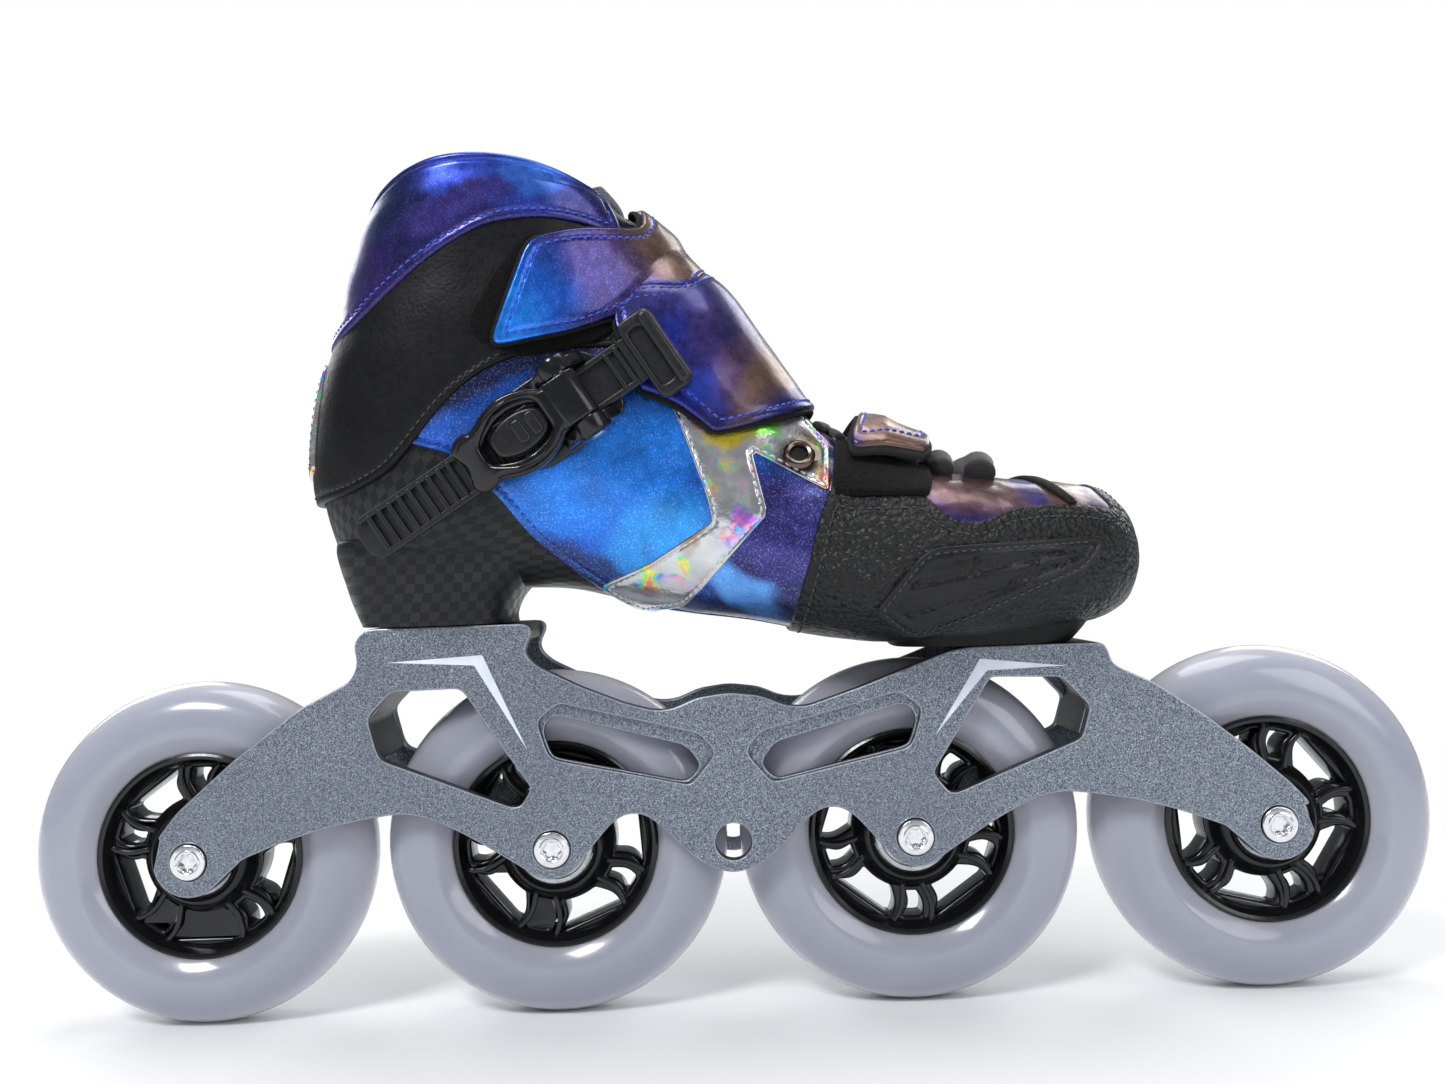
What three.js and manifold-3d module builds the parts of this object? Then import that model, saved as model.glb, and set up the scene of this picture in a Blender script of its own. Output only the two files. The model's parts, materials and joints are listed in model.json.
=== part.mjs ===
// Inline skate for the right foot: soft boot on a four-wheel frame.
// Millimetres. +X is the toe, +Y the inner side of the foot, +Z up, ground at z = 0.
import * as THREE from 'three';
import { mergeVertices } from 'three/addons/utils/BufferGeometryUtils.js';
import Module from 'manifold-3d';

const wasm = await Module();
wasm.setup();

// ---------------------------------------------------------------- driving sizes
const WHEEL_R = 50;            // wheel radius
const WHEEL_W = 24;            // wheel width
const AXLE_PITCH = 103.6;      // distance from axle to axle
const AXLE_R = 4;              // axle shaft
const CORE_R = 30;             // where the tyre meets the hub
const BEARING_R = 11;          // 608 bearing: 22 x 8 x 7
const BEARING_W = 7;
const SPACER_W = 10;
const FRAME_W = 36;            // over both side plates
const PLATE_T = 4.5;           // side plate thickness
const REAR_DECK_Z = 114.5;     // top of the rear deck, under the heel
const FRONT_DECK_Z = 103.5;    // top of the front deck, under the ball
const DECK_T = 5;
const HEEL_BOLT_X = -79;
const TOE_BOLT_X = 86;
const BOLT_R = 2.9;
const LINER_T = 3.5;           // padded lining
const SHELL_T = 1.8;           // carbon shell
const PANEL_T = 1.4;           // upper panels
const TRIM_T = 1.2;            // pieces sewn on the panels
const STRAP_T = 2;             // hook and loop straps
const LADDER_W = 13;           // ladder strap
const LADDER_T = 1.6;
const LADDER_PITCH = 3.2;
const LADDER_Y = 40;           // underside of the ladder strap from the centre plane, less a gap
const BUCKLE_X = -38.5;        // lever pivot, in the side view
const BUCKLE_Z = 175;
const BUCKLE_TILT = 32.5;      // the ladder strap climbs forward at this angle
const LEVER_L = 34;
const LEVER_W = 22;

// clearances
const GAP = 0.3;               // between fixed pieces
const PLY = 0.6;               // between one layer of the boot and the next
const RUN = 0.1;               // shaft in a turning bore
const SEAM = 0.25;             // each panel edge stands back this much
const WIDTH_MIDDLE = -3.2;     // y of the middle of the overall width, moved to y = 0

// derived sizes
const AXLES = [-1.5, -0.5, 0.5, 1.5].map((n) => n * AXLE_PITCH);
const AXLE_Z = WHEEL_R;
const PLATE_OUT = FRAME_W / 2;
const PLATE_IN = PLATE_OUT - PLATE_T;
const BEARING_OUT = SPACER_W / 2 + BEARING_W + GAP / 2;
const BOSS_IN = BEARING_OUT + GAP;
const LINER_OUT = -SHELL_T - 2 * PLY;      // layer offsets from the boot's base surface
const LINER_IN = LINER_OUT - LINER_T;
const SHELL_OUT = -PLY;
const SHELL_IN = SHELL_OUT - SHELL_T;
const TRIM_IN = PANEL_T + PLY;
const TRIM_OUT = TRIM_IN + TRIM_T;
const STRAP_IN = TRIM_OUT + PLY;
const STRAP_OUT = STRAP_IN + STRAP_T;

// ---------------------------------------------------------------- solids
const rad = THREE.MathUtils.degToRad;
const vec = (x, y, z) => new THREE.Vector3(x, y, z);

// A closed triangle surface as a solid that can be joined and cut.
function solid(geometry) {
  const bare = geometry.clone();
  bare.deleteAttribute('normal');
  bare.deleteAttribute('uv');
  const merged = mergeVertices(bare, 1e-3);
  const index = merged.index.array;
  const tris = [];
  for (let i = 0; i < index.length; i += 3) {
    const [a, b, c] = [index[i], index[i + 1], index[i + 2]];
    if (a !== b && b !== c && c !== a) tris.push(a, b, c);
  }
  return new wasm.Manifold(new wasm.Mesh({
    numProp: 3,
    vertProperties: new Float32Array(merged.attributes.position.array),
    triVerts: new Uint32Array(tris),
  }));
}

// A side outline of [x, z] points made solid from y0 to y1.
function slab(outline, y0, y1, holes = []) {
  const points = (list) => list.map(([x, z]) => new THREE.Vector2(x, z));
  const shape = new THREE.Shape(points(outline));
  shape.holes = holes.map((hole) => new THREE.Path(points(hole)));
  const geometry = new THREE.ExtrudeGeometry(shape, { depth: y1 - y0, bevelEnabled: false });
  geometry.rotateX(Math.PI / 2);
  geometry.translate(0, y1, 0);
  return solid(geometry);
}

// A round bar along Y.
function bar(x, z, r, y0, y1, segments = 24) {
  const geometry = new THREE.CylinderGeometry(r, r, y1 - y0, segments);
  geometry.translate(x, (y0 + y1) / 2, z);
  return solid(geometry);
}

// An upright round bar.
function post(x, y, r, z0, z1, segments = 20) {
  const geometry = new THREE.CylinderGeometry(r, r, z1 - z0, segments);
  geometry.rotateX(Math.PI / 2);
  geometry.translate(x, y, (z0 + z1) / 2);
  return solid(geometry);
}

function block(x0, x1, y0, y1, z0, z1) {
  const geometry = new THREE.BoxGeometry(x1 - x0, y1 - y0, z1 - z0);
  geometry.translate((x0 + x1) / 2, (y0 + y1) / 2, (z0 + z1) / 2);
  return solid(geometry);
}

// A ring or shaft turned about Y from a profile of [radius, y] points.
function turned(profile, x, z, segments, y = 0) {
  const points = [...profile, profile[0]].map(([r, h]) => new THREE.Vector2(r, h));
  const geometry = new THREE.LatheGeometry(points, segments);
  geometry.translate(x, y, z);
  const made = solid(geometry);
  return made.volume() < 0 ? solid(flipped(geometry)) : made;
}

function flipped(geometry) {
  const copy = geometry.clone();
  const index = Array.from(copy.index.array);
  for (let i = 0; i < index.length; i += 3) [index[i], index[i + 1]] = [index[i + 1], index[i]];
  copy.setIndex(index);
  return copy;
}

const join = (first, ...rest) => rest.reduce((sum, next) => sum.add(next), first);
const cut = (first, ...rest) => rest.reduce((left, next) => left.subtract(next), first);
const mirrorX = (outline) => outline.map(([x, z]) => [-x, z]).reverse();

// The outline moved inwards by d.
function inset(outline, d) {
  const n = outline.length;
  let area = 0;
  for (let i = 0; i < n; i += 1) {
    const [p, q] = [outline[i], outline[(i + 1) % n]];
    area += p[0] * q[1] - q[0] * p[1];
  }
  const side = Math.sign(area);
  return outline.map((p, i) => {
    const a = outline[(i + n - 1) % n];
    const b = outline[(i + 1) % n];
    const u = new THREE.Vector2(p[0] - a[0], p[1] - a[1]).normalize();
    const v = new THREE.Vector2(b[0] - p[0], b[1] - p[1]).normalize();
    const nx = -(u.y + v.y) * side;
    const nz = (u.x + v.x) * side;
    const scale = d / Math.max(0.35, (nx * nx + nz * nz) / 2);
    return [p[0] + nx * scale, p[1] + nz * scale];
  });
}

// ---------------------------------------------------------------- the object
const group = new THREE.Group();
group.name = 'inline_skate';

function add(name, body, color, roughness, metalness = 0) {
  const mesh = body.getMesh();
  const geometry = new THREE.BufferGeometry();
  geometry.setAttribute('position', new THREE.BufferAttribute(mesh.vertProperties, 3));
  geometry.setIndex(new THREE.BufferAttribute(mesh.triVerts, 1));
  geometry.translate(0, -WIDTH_MIDDLE, 0);
  geometry.computeVertexNormals();
  const material = new THREE.MeshStandardMaterial({ color, roughness, metalness, flatShading: true });
  const piece = new THREE.Mesh(geometry, material);
  piece.name = name;
  group.add(piece);
}

// ---------------------------------------------------------------- wheels
const TYRE_PROFILE = [
  [CORE_R, -WHEEL_W * 0.38], [WHEEL_R * 0.76, -WHEEL_W / 2], [WHEEL_R * 0.88, -WHEEL_W * 0.47],
  [WHEEL_R * 0.965, -WHEEL_W * 0.3], [WHEEL_R, -WHEEL_W * 0.11], [WHEEL_R, WHEEL_W * 0.11],
  [WHEEL_R * 0.965, WHEEL_W * 0.3], [WHEEL_R * 0.88, WHEEL_W * 0.47],
  [WHEEL_R * 0.76, WHEEL_W / 2], [CORE_R, WHEEL_W * 0.38],
];

const RIM_IN = CORE_R - 3.4;
const BARREL_R = BEARING_R + 4;

// A window between two radii, curved like the spokes beside it.
function window(r0, r1, middle, half0, half1, sweep, steps) {
  const points = [];
  for (const side of [-1, 1]) {
    for (let i = 0; i <= steps; i += 1) {
      const f = side < 0 ? i / steps : 1 - i / steps;
      const r = r0 + (r1 - r0) * f;
      const half = half0 + (half1 - half0) * f;
      const bow = sweep * Math.sin(Math.PI * f);
      const angle = rad(middle + side * half + bow);
      points.push([r * Math.cos(angle), r * Math.sin(angle)]);
    }
  }
  return points;
}

function hub(x, turn) {
  const at = (outline) => outline.map(([u, v]) => [x + u, AXLE_Z + v]);
  let body = join(
    bar(x, AXLE_Z, CORE_R - GAP, -9, 9, 24),
    bar(x, AXLE_Z, BARREL_R, -BEARING_OUT + 0.2, BEARING_OUT - 0.2, 16),
  );
  for (const side of [-1, 1]) {
    const face = side * 5;
    const end = side * 30;
    const ring = cut(
      bar(x, AXLE_Z, RIM_IN, Math.min(face, end), Math.max(face, end), 24),
      bar(x, AXLE_Z, BARREL_R, -40, 40, 16),
    );
    body = cut(body, ring);
  }
  for (let i = 0; i < 5; i += 1) {
    const a = turn + i * 72;
    const big = window(BARREL_R + 1.2, RIM_IN - 0.8, a + 36, 17, 21, 4, 2);
    const oval = window(BARREL_R + 2.4, RIM_IN - 2.2, a, 4.5, 6, 3, 2);
    body = cut(body, slab(at(big), -8, 8), slab(at(oval), -8, 8));
  }
  const seat = BEARING_R + GAP;
  return cut(
    body,
    bar(x, AXLE_Z, seat, SPACER_W / 2 - GAP / 2, 40, 16),
    bar(x, AXLE_Z, seat, -40, -SPACER_W / 2 + GAP / 2, 16),
    bar(x, AXLE_Z, BEARING_R - 2, -20, 20, 12),
  );
}

function ringY(x, r0, r1, y0, y1, segments) {
  return turned([[r0, y0], [r1, y0], [r1, y1], [r0, y1]], x, AXLE_Z, segments);
}

const HEAD_R = 5.1;
const HEAD_Y = -PLATE_OUT - 0.8;
const HEAD_T = 2.2;

function axle(x) {
  const shaft = join(
    bar(x, AXLE_Z, AXLE_R, HEAD_Y, PLATE_OUT + 0.4, 16),
    bar(x, AXLE_Z, HEAD_R, HEAD_Y, HEAD_Y + HEAD_T, 20),
  );
  return cut(shaft, bar(x, AXLE_Z, 2.6, HEAD_Y - 1, HEAD_Y + 1.5, 6));
}

const HUB_TURNS = [18, 40, 53, 4];
AXLES.forEach((x, i) => {
  const n = i + 1;
  add(`tyre_${n}`, turned(TYRE_PROFILE, x, AXLE_Z, 28), 0xa9b4c2, 0.35);
  add(`hub_${n}`, hub(x, HUB_TURNS[i]), 0x14151a, 0.25);
  for (const [name, side] of [['bearing_out', -1], ['bearing_in', 1]]) {
    const near = side * (SPACER_W / 2 + GAP / 2);
    const far = near + side * BEARING_W;
    const span = [Math.min(near, far), Math.max(near, far)];
    add(`${name}_${n}`, ringY(x, AXLE_R + RUN, BEARING_R, ...span, 16), 0x8b9096, 0.3, 0.9);
  }
  add(`spacer_${n}`, ringY(x, AXLE_R + GAP, 5.4, -SPACER_W / 2 + GAP, SPACER_W / 2 - GAP, 16),
    0xb9bcc2, 0.35, 0.9);
  add(`axle_${n}`, axle(x), 0xc9ccd2, 0.3, 0.95);
});

// ---------------------------------------------------------------- frame
// The outlines are drawn for this axle pitch and height. Their lower parts follow the axles
// when those change, and their upper parts stay with the decks.
const DRAWN_PITCH = 103.6;
const DRAWN_AXLE_Z = 50;
const FOLLOW_LOW = 62;
const FOLLOW_HIGH = 99;
const follow = (outline) => outline.map(([x, z]) => {
  const share = Math.min(1, Math.max(0, (FOLLOW_HIGH - z) / (FOLLOW_HIGH - FOLLOW_LOW)));
  return [x * (1 + (AXLE_PITCH / DRAWN_PITCH - 1) * share), z + (AXLE_Z - DRAWN_AXLE_Z) * share];
});
const PLATE_TOP = [
  [-165.3, 52.2], [-164.7, 56.2], [-158.5, 64], [-142, 78.2], [-122.7, 92.3], [-107.7, 99.8],
  [-105.6, 104.4], [-106.7, 110.5], [-103.2, REAR_DECK_Z], [-56.7, REAR_DECK_Z],
  [-55.4, 112.1], [-57.8, 107.5], [-57, 104.8], [-54, 102], [-42, 95.9], [-29.9, 90.9],
  [-21.6, 88.5], [-16.2, 88.7], [-9.2, 91.7], [0, 92.9], [9.2, 91.7], [16.3, 88.6], [22, 88.2],
  [37.7, 93.2], [49.4, 97.5], [63.5, 102.7], [70, FRONT_DECK_Z], [107.3, FRONT_DECK_Z],
  [108.7, 101.1], [109.4, 98.3], [110.9, 96.6], [121.5, 91.5], [135.6, 81.8], [148.3, 71.5],
  [159.7, 61.3], [165.1, 55.2], [165.3, 52.2],
];
const PLATE_FOOT = [
  [152.3, 42.8], [142.1, 49.4], [127.8, 54.9], [114.8, 58.5], [101.8, 60.8], [93.9, 61.6],
  [85.9, 59.9], [75.2, 54.4], [67.1, 49.4], [60.3, 45.1], [57.6, 43], [54.6, 41.8], [51.8, 41.5], [48.9, 42],
  [46.3, 43.6], [42.1, 48.3],
  [34.5, 57.1], [30, 59.6], [24.7, 59], [19.9, 55], [10.4, 45.5], [0, 42.2],
];
const REAR_WINDOW = [
  [-96.2, 96.3], [-77.1, 96.6], [-75.3, 95.1], [-64.7, 78.8], [-57.7, 68.6], [-57.4, 67.1],
  [-60.2, 62.6], [-62.9, 62.4], [-99.5, 76.9], [-100.9, 79.3], [-103.1, 88.1], [-102.5, 90],
];
const FRONT_WINDOW = [
  [75.9, 94.7], [95.1, 94], [102.9, 85.4], [100.5, 77.3], [99.3, 76.1], [64.4, 62.3],
  [61.9, 62.4], [58, 67.4], [58.1, 69], [74.6, 94.2],
];
const SLOT_POCKET = [
  [-48.6, 91.5], [-8.8, 81.4], [-4.8, 76.7], [-5.3, 74.4], [-11.6, 67], [-50.3, 75.4],
  [-52.1, 77.2], [-54.7, 85.3], [-54.1, 87.2],
];
const SLOT = [
  [-50.6, 88.2], [-12.8, 78.1], [-8.4, 72.2], [-11.6, 67], [-50.3, 75.4], [-52.1, 77.2],
  [-54.2, 84.2],
];
const WEB = [
  [-99.9, 76.6], [-103.5, 88.1], [-96.6, 96.5], [-96.2, 112], [-104, 112], [-107.5, 90],
  [-104, 77],
];
const POCKET_DEPTH = 2;
const BOSS_R = 10;

function frame() {
  const foot = [...PLATE_FOOT, ...mirrorX(PLATE_FOOT).slice(1)];
  const outline = [...PLATE_TOP, ...foot];
  const across = (shape) => slab(follow(shape), -PLATE_OUT, PLATE_OUT);
  const channel = (x0, x1, z0, z1) => block(x0, x1, -PLATE_IN, PLATE_IN, z0, z1);
  let body = across(outline);
  for (const x of [AXLES[0], AXLES[3]]) {
    body = join(body, bar(x, AXLE_Z, BOSS_R, -PLATE_OUT, PLATE_OUT, 20));
  }
  body = cut(body, across(REAR_WINDOW), across(FRONT_WINDOW), across(SLOT), across(mirrorX(SLOT)));
  body = cut(body, channel(-200, 200, 0, 200));
  for (const s of [-1, 1]) {
    const y = [s * (PLATE_OUT - POCKET_DEPTH), s * (PLATE_OUT + 5)].sort((a, b) => a - b);
    body = cut(body, slab(follow(SLOT_POCKET), ...y), slab(follow(mirrorX(SLOT_POCKET)), ...y));
    const boss = [s * BOSS_IN, s * (PLATE_IN + 1)].sort((a, b) => a - b);
    for (const x of AXLES) body = join(body, bar(x, AXLE_Z, 7, ...boss, 10));
  }
  const reach = PLATE_IN + 1;
  body = join(
    body,
    block(-103.4, -57.2, -reach, reach, REAR_DECK_Z - DECK_T, REAR_DECK_Z),
    block(72, 107, -reach, reach, FRONT_DECK_Z - DECK_T, FRONT_DECK_Z),
    slab(follow(WEB), -reach, reach),
    slab(follow(mirrorX(WEB)).map(([x, z]) => [x, Math.min(z, FRONT_DECK_Z - 1)]), -reach, reach),
  );
  for (const x of AXLES) {
    body = cut(body, bar(x, AXLE_Z, WHEEL_R + 1, -WHEEL_W / 2 - GAP, WHEEL_W / 2 + GAP, 48));
    body = cut(body, bar(x, AXLE_Z, AXLE_R + GAP, -30, 30, 12));
    body = cut(body, bar(x, AXLE_Z, HEAD_R + GAP, HEAD_Y - 5, HEAD_Y + HEAD_T + GAP, 16));
  }
  body = cut(body, bar(0, AXLE_Z, AXLE_R + 1.2, -30, 30, 16));
  for (const x of [HEEL_BOLT_X, TOE_BOLT_X]) body = cut(body, post(x, 0, BOLT_R + GAP, 90, 130));
  return body;
}
add('frame', frame(), 0x6d7a94, 0.35, 0.85);

// The head sits GAP under its deck and the shank ends inside the boot's sole.
function mountBolt(x, deckZ, endZ) {
  const under = deckZ - DECK_T - GAP;
  const body = join(post(x, 0, 5.4, under - 3.2, under), post(x, 0, BOLT_R, under - 1, endZ));
  return cut(body, post(x, 0, 2.3, under - 4, under - 1.4, 6));
}
add('heel_bolt', mountBolt(HEEL_BOLT_X, REAR_DECK_Z, 122), 0x23252a, 0.4, 0.8);
add('toe_bolt', mountBolt(TOE_BOLT_X, FRONT_DECK_Z, 107.6), 0x23252a, 0.4, 0.8);

// ---------------------------------------------------------------- boot surface
// Rings from the toe, along the foot, round the heel and up to the collar.
// Each: sole x, sole z, top x, top z, half width, sideways shift, squareness, collar lift.
const RINGS = [
  [119.2, 129, 119.2, 133, 8, 6, 2.2, 0], [117, 117.5, 117.5, 139.5, 20, 5, 2.3, 0],
  [111, 112.5, 111, 146, 29.5, 4, 2.4, 0], [100, 110, 100, 149, 36, 3, 2.6, 0],
  [84, 108.5, 82, 150.5, 40.5, 1, 2.8, 0], [64, 107.5, 60, 153.5, 42.5, -0.5, 2.8, 0],
  [44, 107.5, 43, 158, 41, -1, 2.8, 0], [26, 110, 32, 164, 38, -1, 2.7, 0],
  [8, 113.5, 21.5, 174, 35, 0, 2.6, 0], [-10, 116, 11, 189.5, 33.5, 0, 2.6, 0],
  [-27, 119, 0, 206, 33, 0, 2.6, 0], [-46, 123.5, -6, 211.5, 33, 0, 2.6, 0],
  [-68, 124, -9.5, 215, 33.5, 0, 2.6, 0], [-92, 122.5, -11.5, 217.5, 33.5, 0, 2.5, 0],
  [-108, 128, -13, 219.5, 34.5, 0, 2.4, 0], [-115.5, 143, -14, 221.5, 36, 0, 2.3, 0],
  [-118, 160, -15, 223.5, 37, 0, 2.2, 0], [-115.5, 180, -17, 225.5, 37, 0, 2.2, 2],
  [-108.5, 201, -19.5, 227.5, 36, 0, 2.2, 5], [-103.5, 217, -22.5, 228.8, 36, 0, 2.2, 9],
  [-99, 229.5, -26.5, 229.8, 36.5, 0, 2.2, 13], [-97, 240.5, -27.5, 240, 36.8, 0, 2.2, 13],
];
const WAIST = 0.45;            // height of the widest point, from sole to top
const COLUMN = 15;             // degrees between columns; 0 is the top, 90 the outer side
const COLUMNS = 360 / COLUMN;
const TOE = -1;                // row number of the point at the tip of the toe
const TOE_TIP = vec(119.7, 6, 131);
const RIM = 20;                // row at the collar's edge

function ringPoint([bx, bz, tx, tz, w, shift, square, lift], phi) {
  const c = Math.cos(rad(phi));
  const s = Math.sin(rad(phi));
  const bulge = (value) => Math.sign(value) * Math.abs(value) ** (2 / square);
  const h = WAIST + (c > 0 ? (1 - WAIST) : WAIST) * bulge(c);
  return vec(bx + (tx - bx) * h, shift - w * bulge(s), bz + (tz - bz) * h + lift * s * s);
}

const BASE = RINGS.map((ring) => [...Array(COLUMNS).keys()].map((j) => ringPoint(ring, j * COLUMN)));
const NORMALS = BASE.map((row, i) => row.map((_, j) => {
  const before = BASE[Math.max(0, i - 1)][j];
  const after = BASE[Math.min(RINGS.length - 1, i + 1)][j];
  const left = row[(j + COLUMNS - 1) % COLUMNS];
  const right = row[(j + 1) % COLUMNS];
  const along = after.clone().sub(before);
  return along.cross(right.clone().sub(left)).normalize();
}));

// The point at row t and angle phi, lifted by d off the base surface.
function onBoot(t, phi, d) {
  if (t < 0) return TOE_TIP.clone().add(vec(d, 0, 0));
  const i = Math.min(Math.floor(t), RINGS.length - 2);
  const turn = (((phi % 360) + 360) % 360) / COLUMN;
  const j = Math.floor(turn);
  const node = (row, column) => {
    const k = column % COLUMNS;
    return BASE[row][k].clone().addScaledVector(NORMALS[row][k], d);
  };
  const lower = node(i, j).lerp(node(i, j + 1), turn - j);
  return lower.lerp(node(i + 1, j).lerp(node(i + 1, j + 1), turn - j), t - i);
}

function steps(from, to, size) {
  const list = [from];
  for (let v = (Math.floor(from / size + 1e-6) + 1) * size; v < to - 1e-6; v += size) list.push(v);
  return [...list, to];
}

// One layer of the boot between two offsets. The offsets may depend on t and phi.
function layer(t0, t1, phi0, phi1, d0, d1) {
  const rows = steps(t0, t1, 1);
  const ring = phi1 - phi0 >= 360;
  const columns = steps(phi0, phi1, COLUMN);
  if (ring) columns.pop();
  const offset = (d, t, phi) => (typeof d === 'function' ? d(t, phi) : d);
  const skin = (d) => rows.map((t) => columns.map((phi) => onBoot(t, phi, offset(d, t, phi))));
  return closed(skin(d1), skin(d0), ring);
}

// The solid between an outer and an inner grid of points.
function closed(outer, inner, ring) {
  const [n, m] = [outer.length, outer[0].length];
  const points = [...outer.flat(), ...inner.flat()];
  const index = [];
  const quad = (a, b, c, d) => index.push(a, b, c, a, c, d);
  const out = (i, j) => i * m + (j % m);
  const inn = (i, j) => n * m + out(i, j);
  for (let i = 0; i < n; i += 1) {
    for (let j = 0; j < (ring ? m : m - 1); j += 1) {
      if (i < n - 1) {
        quad(out(i, j), out(i + 1, j), out(i + 1, j + 1), out(i, j + 1));
        quad(inn(i, j), inn(i, j + 1), inn(i + 1, j + 1), inn(i + 1, j));
      } else {
        quad(out(i, j), inn(i, j), inn(i, j + 1), out(i, j + 1));
      }
      if (i === 0) quad(out(i, j), out(i, j + 1), inn(i, j + 1), inn(i, j));
    }
    if (!ring && i < n - 1) {
      quad(out(i, 0), inn(i, 0), inn(i + 1, 0), out(i + 1, 0));
      quad(out(i, m - 1), out(i + 1, m - 1), inn(i + 1, m - 1), inn(i, m - 1));
    }
  }
  return solid(grid(points, index));
}

function grid(points, index) {
  const geometry = new THREE.BufferGeometry().setFromPoints(points);
  geometry.setIndex(index);
  return geometry;
}

// Everything inside the base surface moved by d, from the toe to the collar.
function filled(d) {
  const rows = steps(TOE, RIM, 1);
  const columns = steps(0, 360, COLUMN).slice(0, -1);
  const m = columns.length;
  const points = rows.flatMap((t) => columns.map((phi) => onBoot(t, phi, d)));
  const top = onBoot(RIM, 0, 0).lerp(onBoot(RIM, 180, 0), 0.5);
  const index = [];
  for (let i = 0; i < rows.length; i += 1) {
    for (let j = 0; j < m; j += 1) {
      const [a, b] = [i * m + j, i * m + ((j + 1) % m)];
      if (i === rows.length - 1) index.push(a, points.length, b);
      else index.push(a, a + m, b + m, a, b + m, b);
    }
  }
  return solid(grid([...points, top], index));
}

// ---------------------------------------------------------------- boot panels
const WIDE = 80;
const clip = (body, outline, y0 = -WIDE, y1 = WIDE) => body.intersect(slab(inset(outline, SEAM), y0, y1));
const SIDES = [['lateral', -1], ['medial', 1]];
// Angles on one side of the boot: side -1 is the outer side.
const half = (side, from, to) => (side < 0 ? [from, to] : [360 - to, 360 - from]);

const QUARTER_LOWER = [
  [-84.1, 165.2], [-78, 163.5], [-72.7, 161.4], [-61.4, 150], [-53, 138.8], [-44.4, 131],
  [-36.4, 125.3], [-24.5, 116], [-7, 109],
];
const WRAP_EDGE = [
  [-12, 207], [-20, 193], [-26.6, 189.7], [-37.5, 190.5], [-51.8, 189.3], [-62, 185.9],
  [-70.3, 180.4], [-77.3, 173.5], [-84.1, 165.2],
];
const HEEL_EDGE = [[-90.6, 158.4], [-98.2, 154.6], [-105.7, 152.1], [-130, 149]];
const COLLAR_EDGE = [
  [-130, 186], [-111.5, 193], [-98, 199.9], [-89.4, 206.6], [-80.3, 213.7], [-72.1, 219.3],
  [-61.6, 224.9], [-50.5, 226.3], [-42.4, 226], [-35.1, 224.3], [-20, 218],
];
const GUARD_REAR = [[18, 104], [18.2, 112], [23.9, 130.5], [26.7, 141.4], [31.2, 151]];
const GUARD_TOP = [
  [33.1, 145.8], [55.7, 145], [57.9, 141], [64, 137.7], [70.2, 137.9], [75.8, 140.4],
  [82.1, 141.8], [91.4, 140.6], [99.4, 141.4], [97, 143.2], [93.1, 149.1], [94, 165],
];
const QUARTER = [
  ...QUARTER_LOWER, ...GUARD_REAR, [35.3, 164], [39, 184], [26, 188], [12, 202], [0, 214], ...WRAP_EDGE.slice(0, -1),
];
const WRAP = [...WRAP_EDGE, ...HEEL_EDGE, ...COLLAR_EDGE];
const COLLAR = [...COLLAR_EDGE, [-10, 250], [-130, 250]];
const GUARD = [...GUARD_REAR, ...GUARD_TOP, [140, 165], [140, 100]];
const VAMP = [[31.2, 151], ...GUARD_TOP, [94, 184], [39, 184], [35.3, 164]];
const CHEVRON = [
  [-13.6, 174.7], [-9.2, 163.6], [-3.7, 147.2], [-2.6, 141.1], [-20.5, 130.9], [-35.5, 125.3],
  [-23.7, 117.5], [-11.5, 119.3], [-6.7, 123], [12.7, 142.6], [8.6, 160], [29.4, 147.6],
  [29.8, 160.6], [22.4, 171.5], [10, 174],
];
const BUMPER = [
  [41.1, 116], [41.9, 118.3], [53.3, 130.3], [57.2, 131.7], [100.7, 133.2], [103.4, 132.4],
  [102.1, 129.3], [97.2, 124.1], [54.8, 110.1], [50.1, 109.8],
];

const HEEL_SEAM = 8;             // row where the vamp lining meets the heel lining
const CUFF_SEAM = 13;            // row where the heel lining meets the cuff lining
const LINING_GAP = 0.02;         // rows between two linings
const lining = (t0, t1) => layer(t0, t1, 0, 360, LINER_IN, LINER_OUT);
add('vamp_lining', lining(TOE, HEEL_SEAM), 0x8f9196, 0.9);
add('heel_lining', lining(HEEL_SEAM + LINING_GAP, CUFF_SEAM), 0x8f9196, 0.9);
add('cuff_lining', lining(CUFF_SEAM + LINING_GAP, RIM), 0x8f9196, 0.9);

// The footbed fills the bottom of the lining: flat under the heel, lower at the ball.
const HEEL_SEAT_Z = 133;
const INSOLE_TOP = [
  [-130, HEEL_SEAT_Z], [-50, HEEL_SEAT_Z], [-16, 129], [30, 119.5], [110, 119.5], [130, 122],
];
add('insole', filled(LINER_IN - PLY).intersect(
  slab([[-130, 90], ...INSOLE_TOP, [130, 90]], -WIDE, WIDE)), 0x2b2c30, 0.9);

const HEEL_BLOCK = [
  [-106.5, REAR_DECK_Z + GAP], [-62.4, REAR_DECK_Z + GAP], [-62.8, 119.2], [-57.7, 126],
  [-60, 135], [-106, 135], [-109, 122],
];
function carbonShell() {
  const cup = layer(3, 16.3, 98, 262, SHELL_IN, SHELL_OUT);
  const heel = cut(slab(HEEL_BLOCK, -24, 24), filled(SHELL_OUT - SHELL_T / 2));
  const hole = post(HEEL_BOLT_X, 0, BOLT_R + GAP, 100, 122 + 2 * GAP);
  return cut(join(cup, heel), hole);
}
add('carbon_shell', carbonShell(), 0x1c1e22, 0.45);

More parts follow.
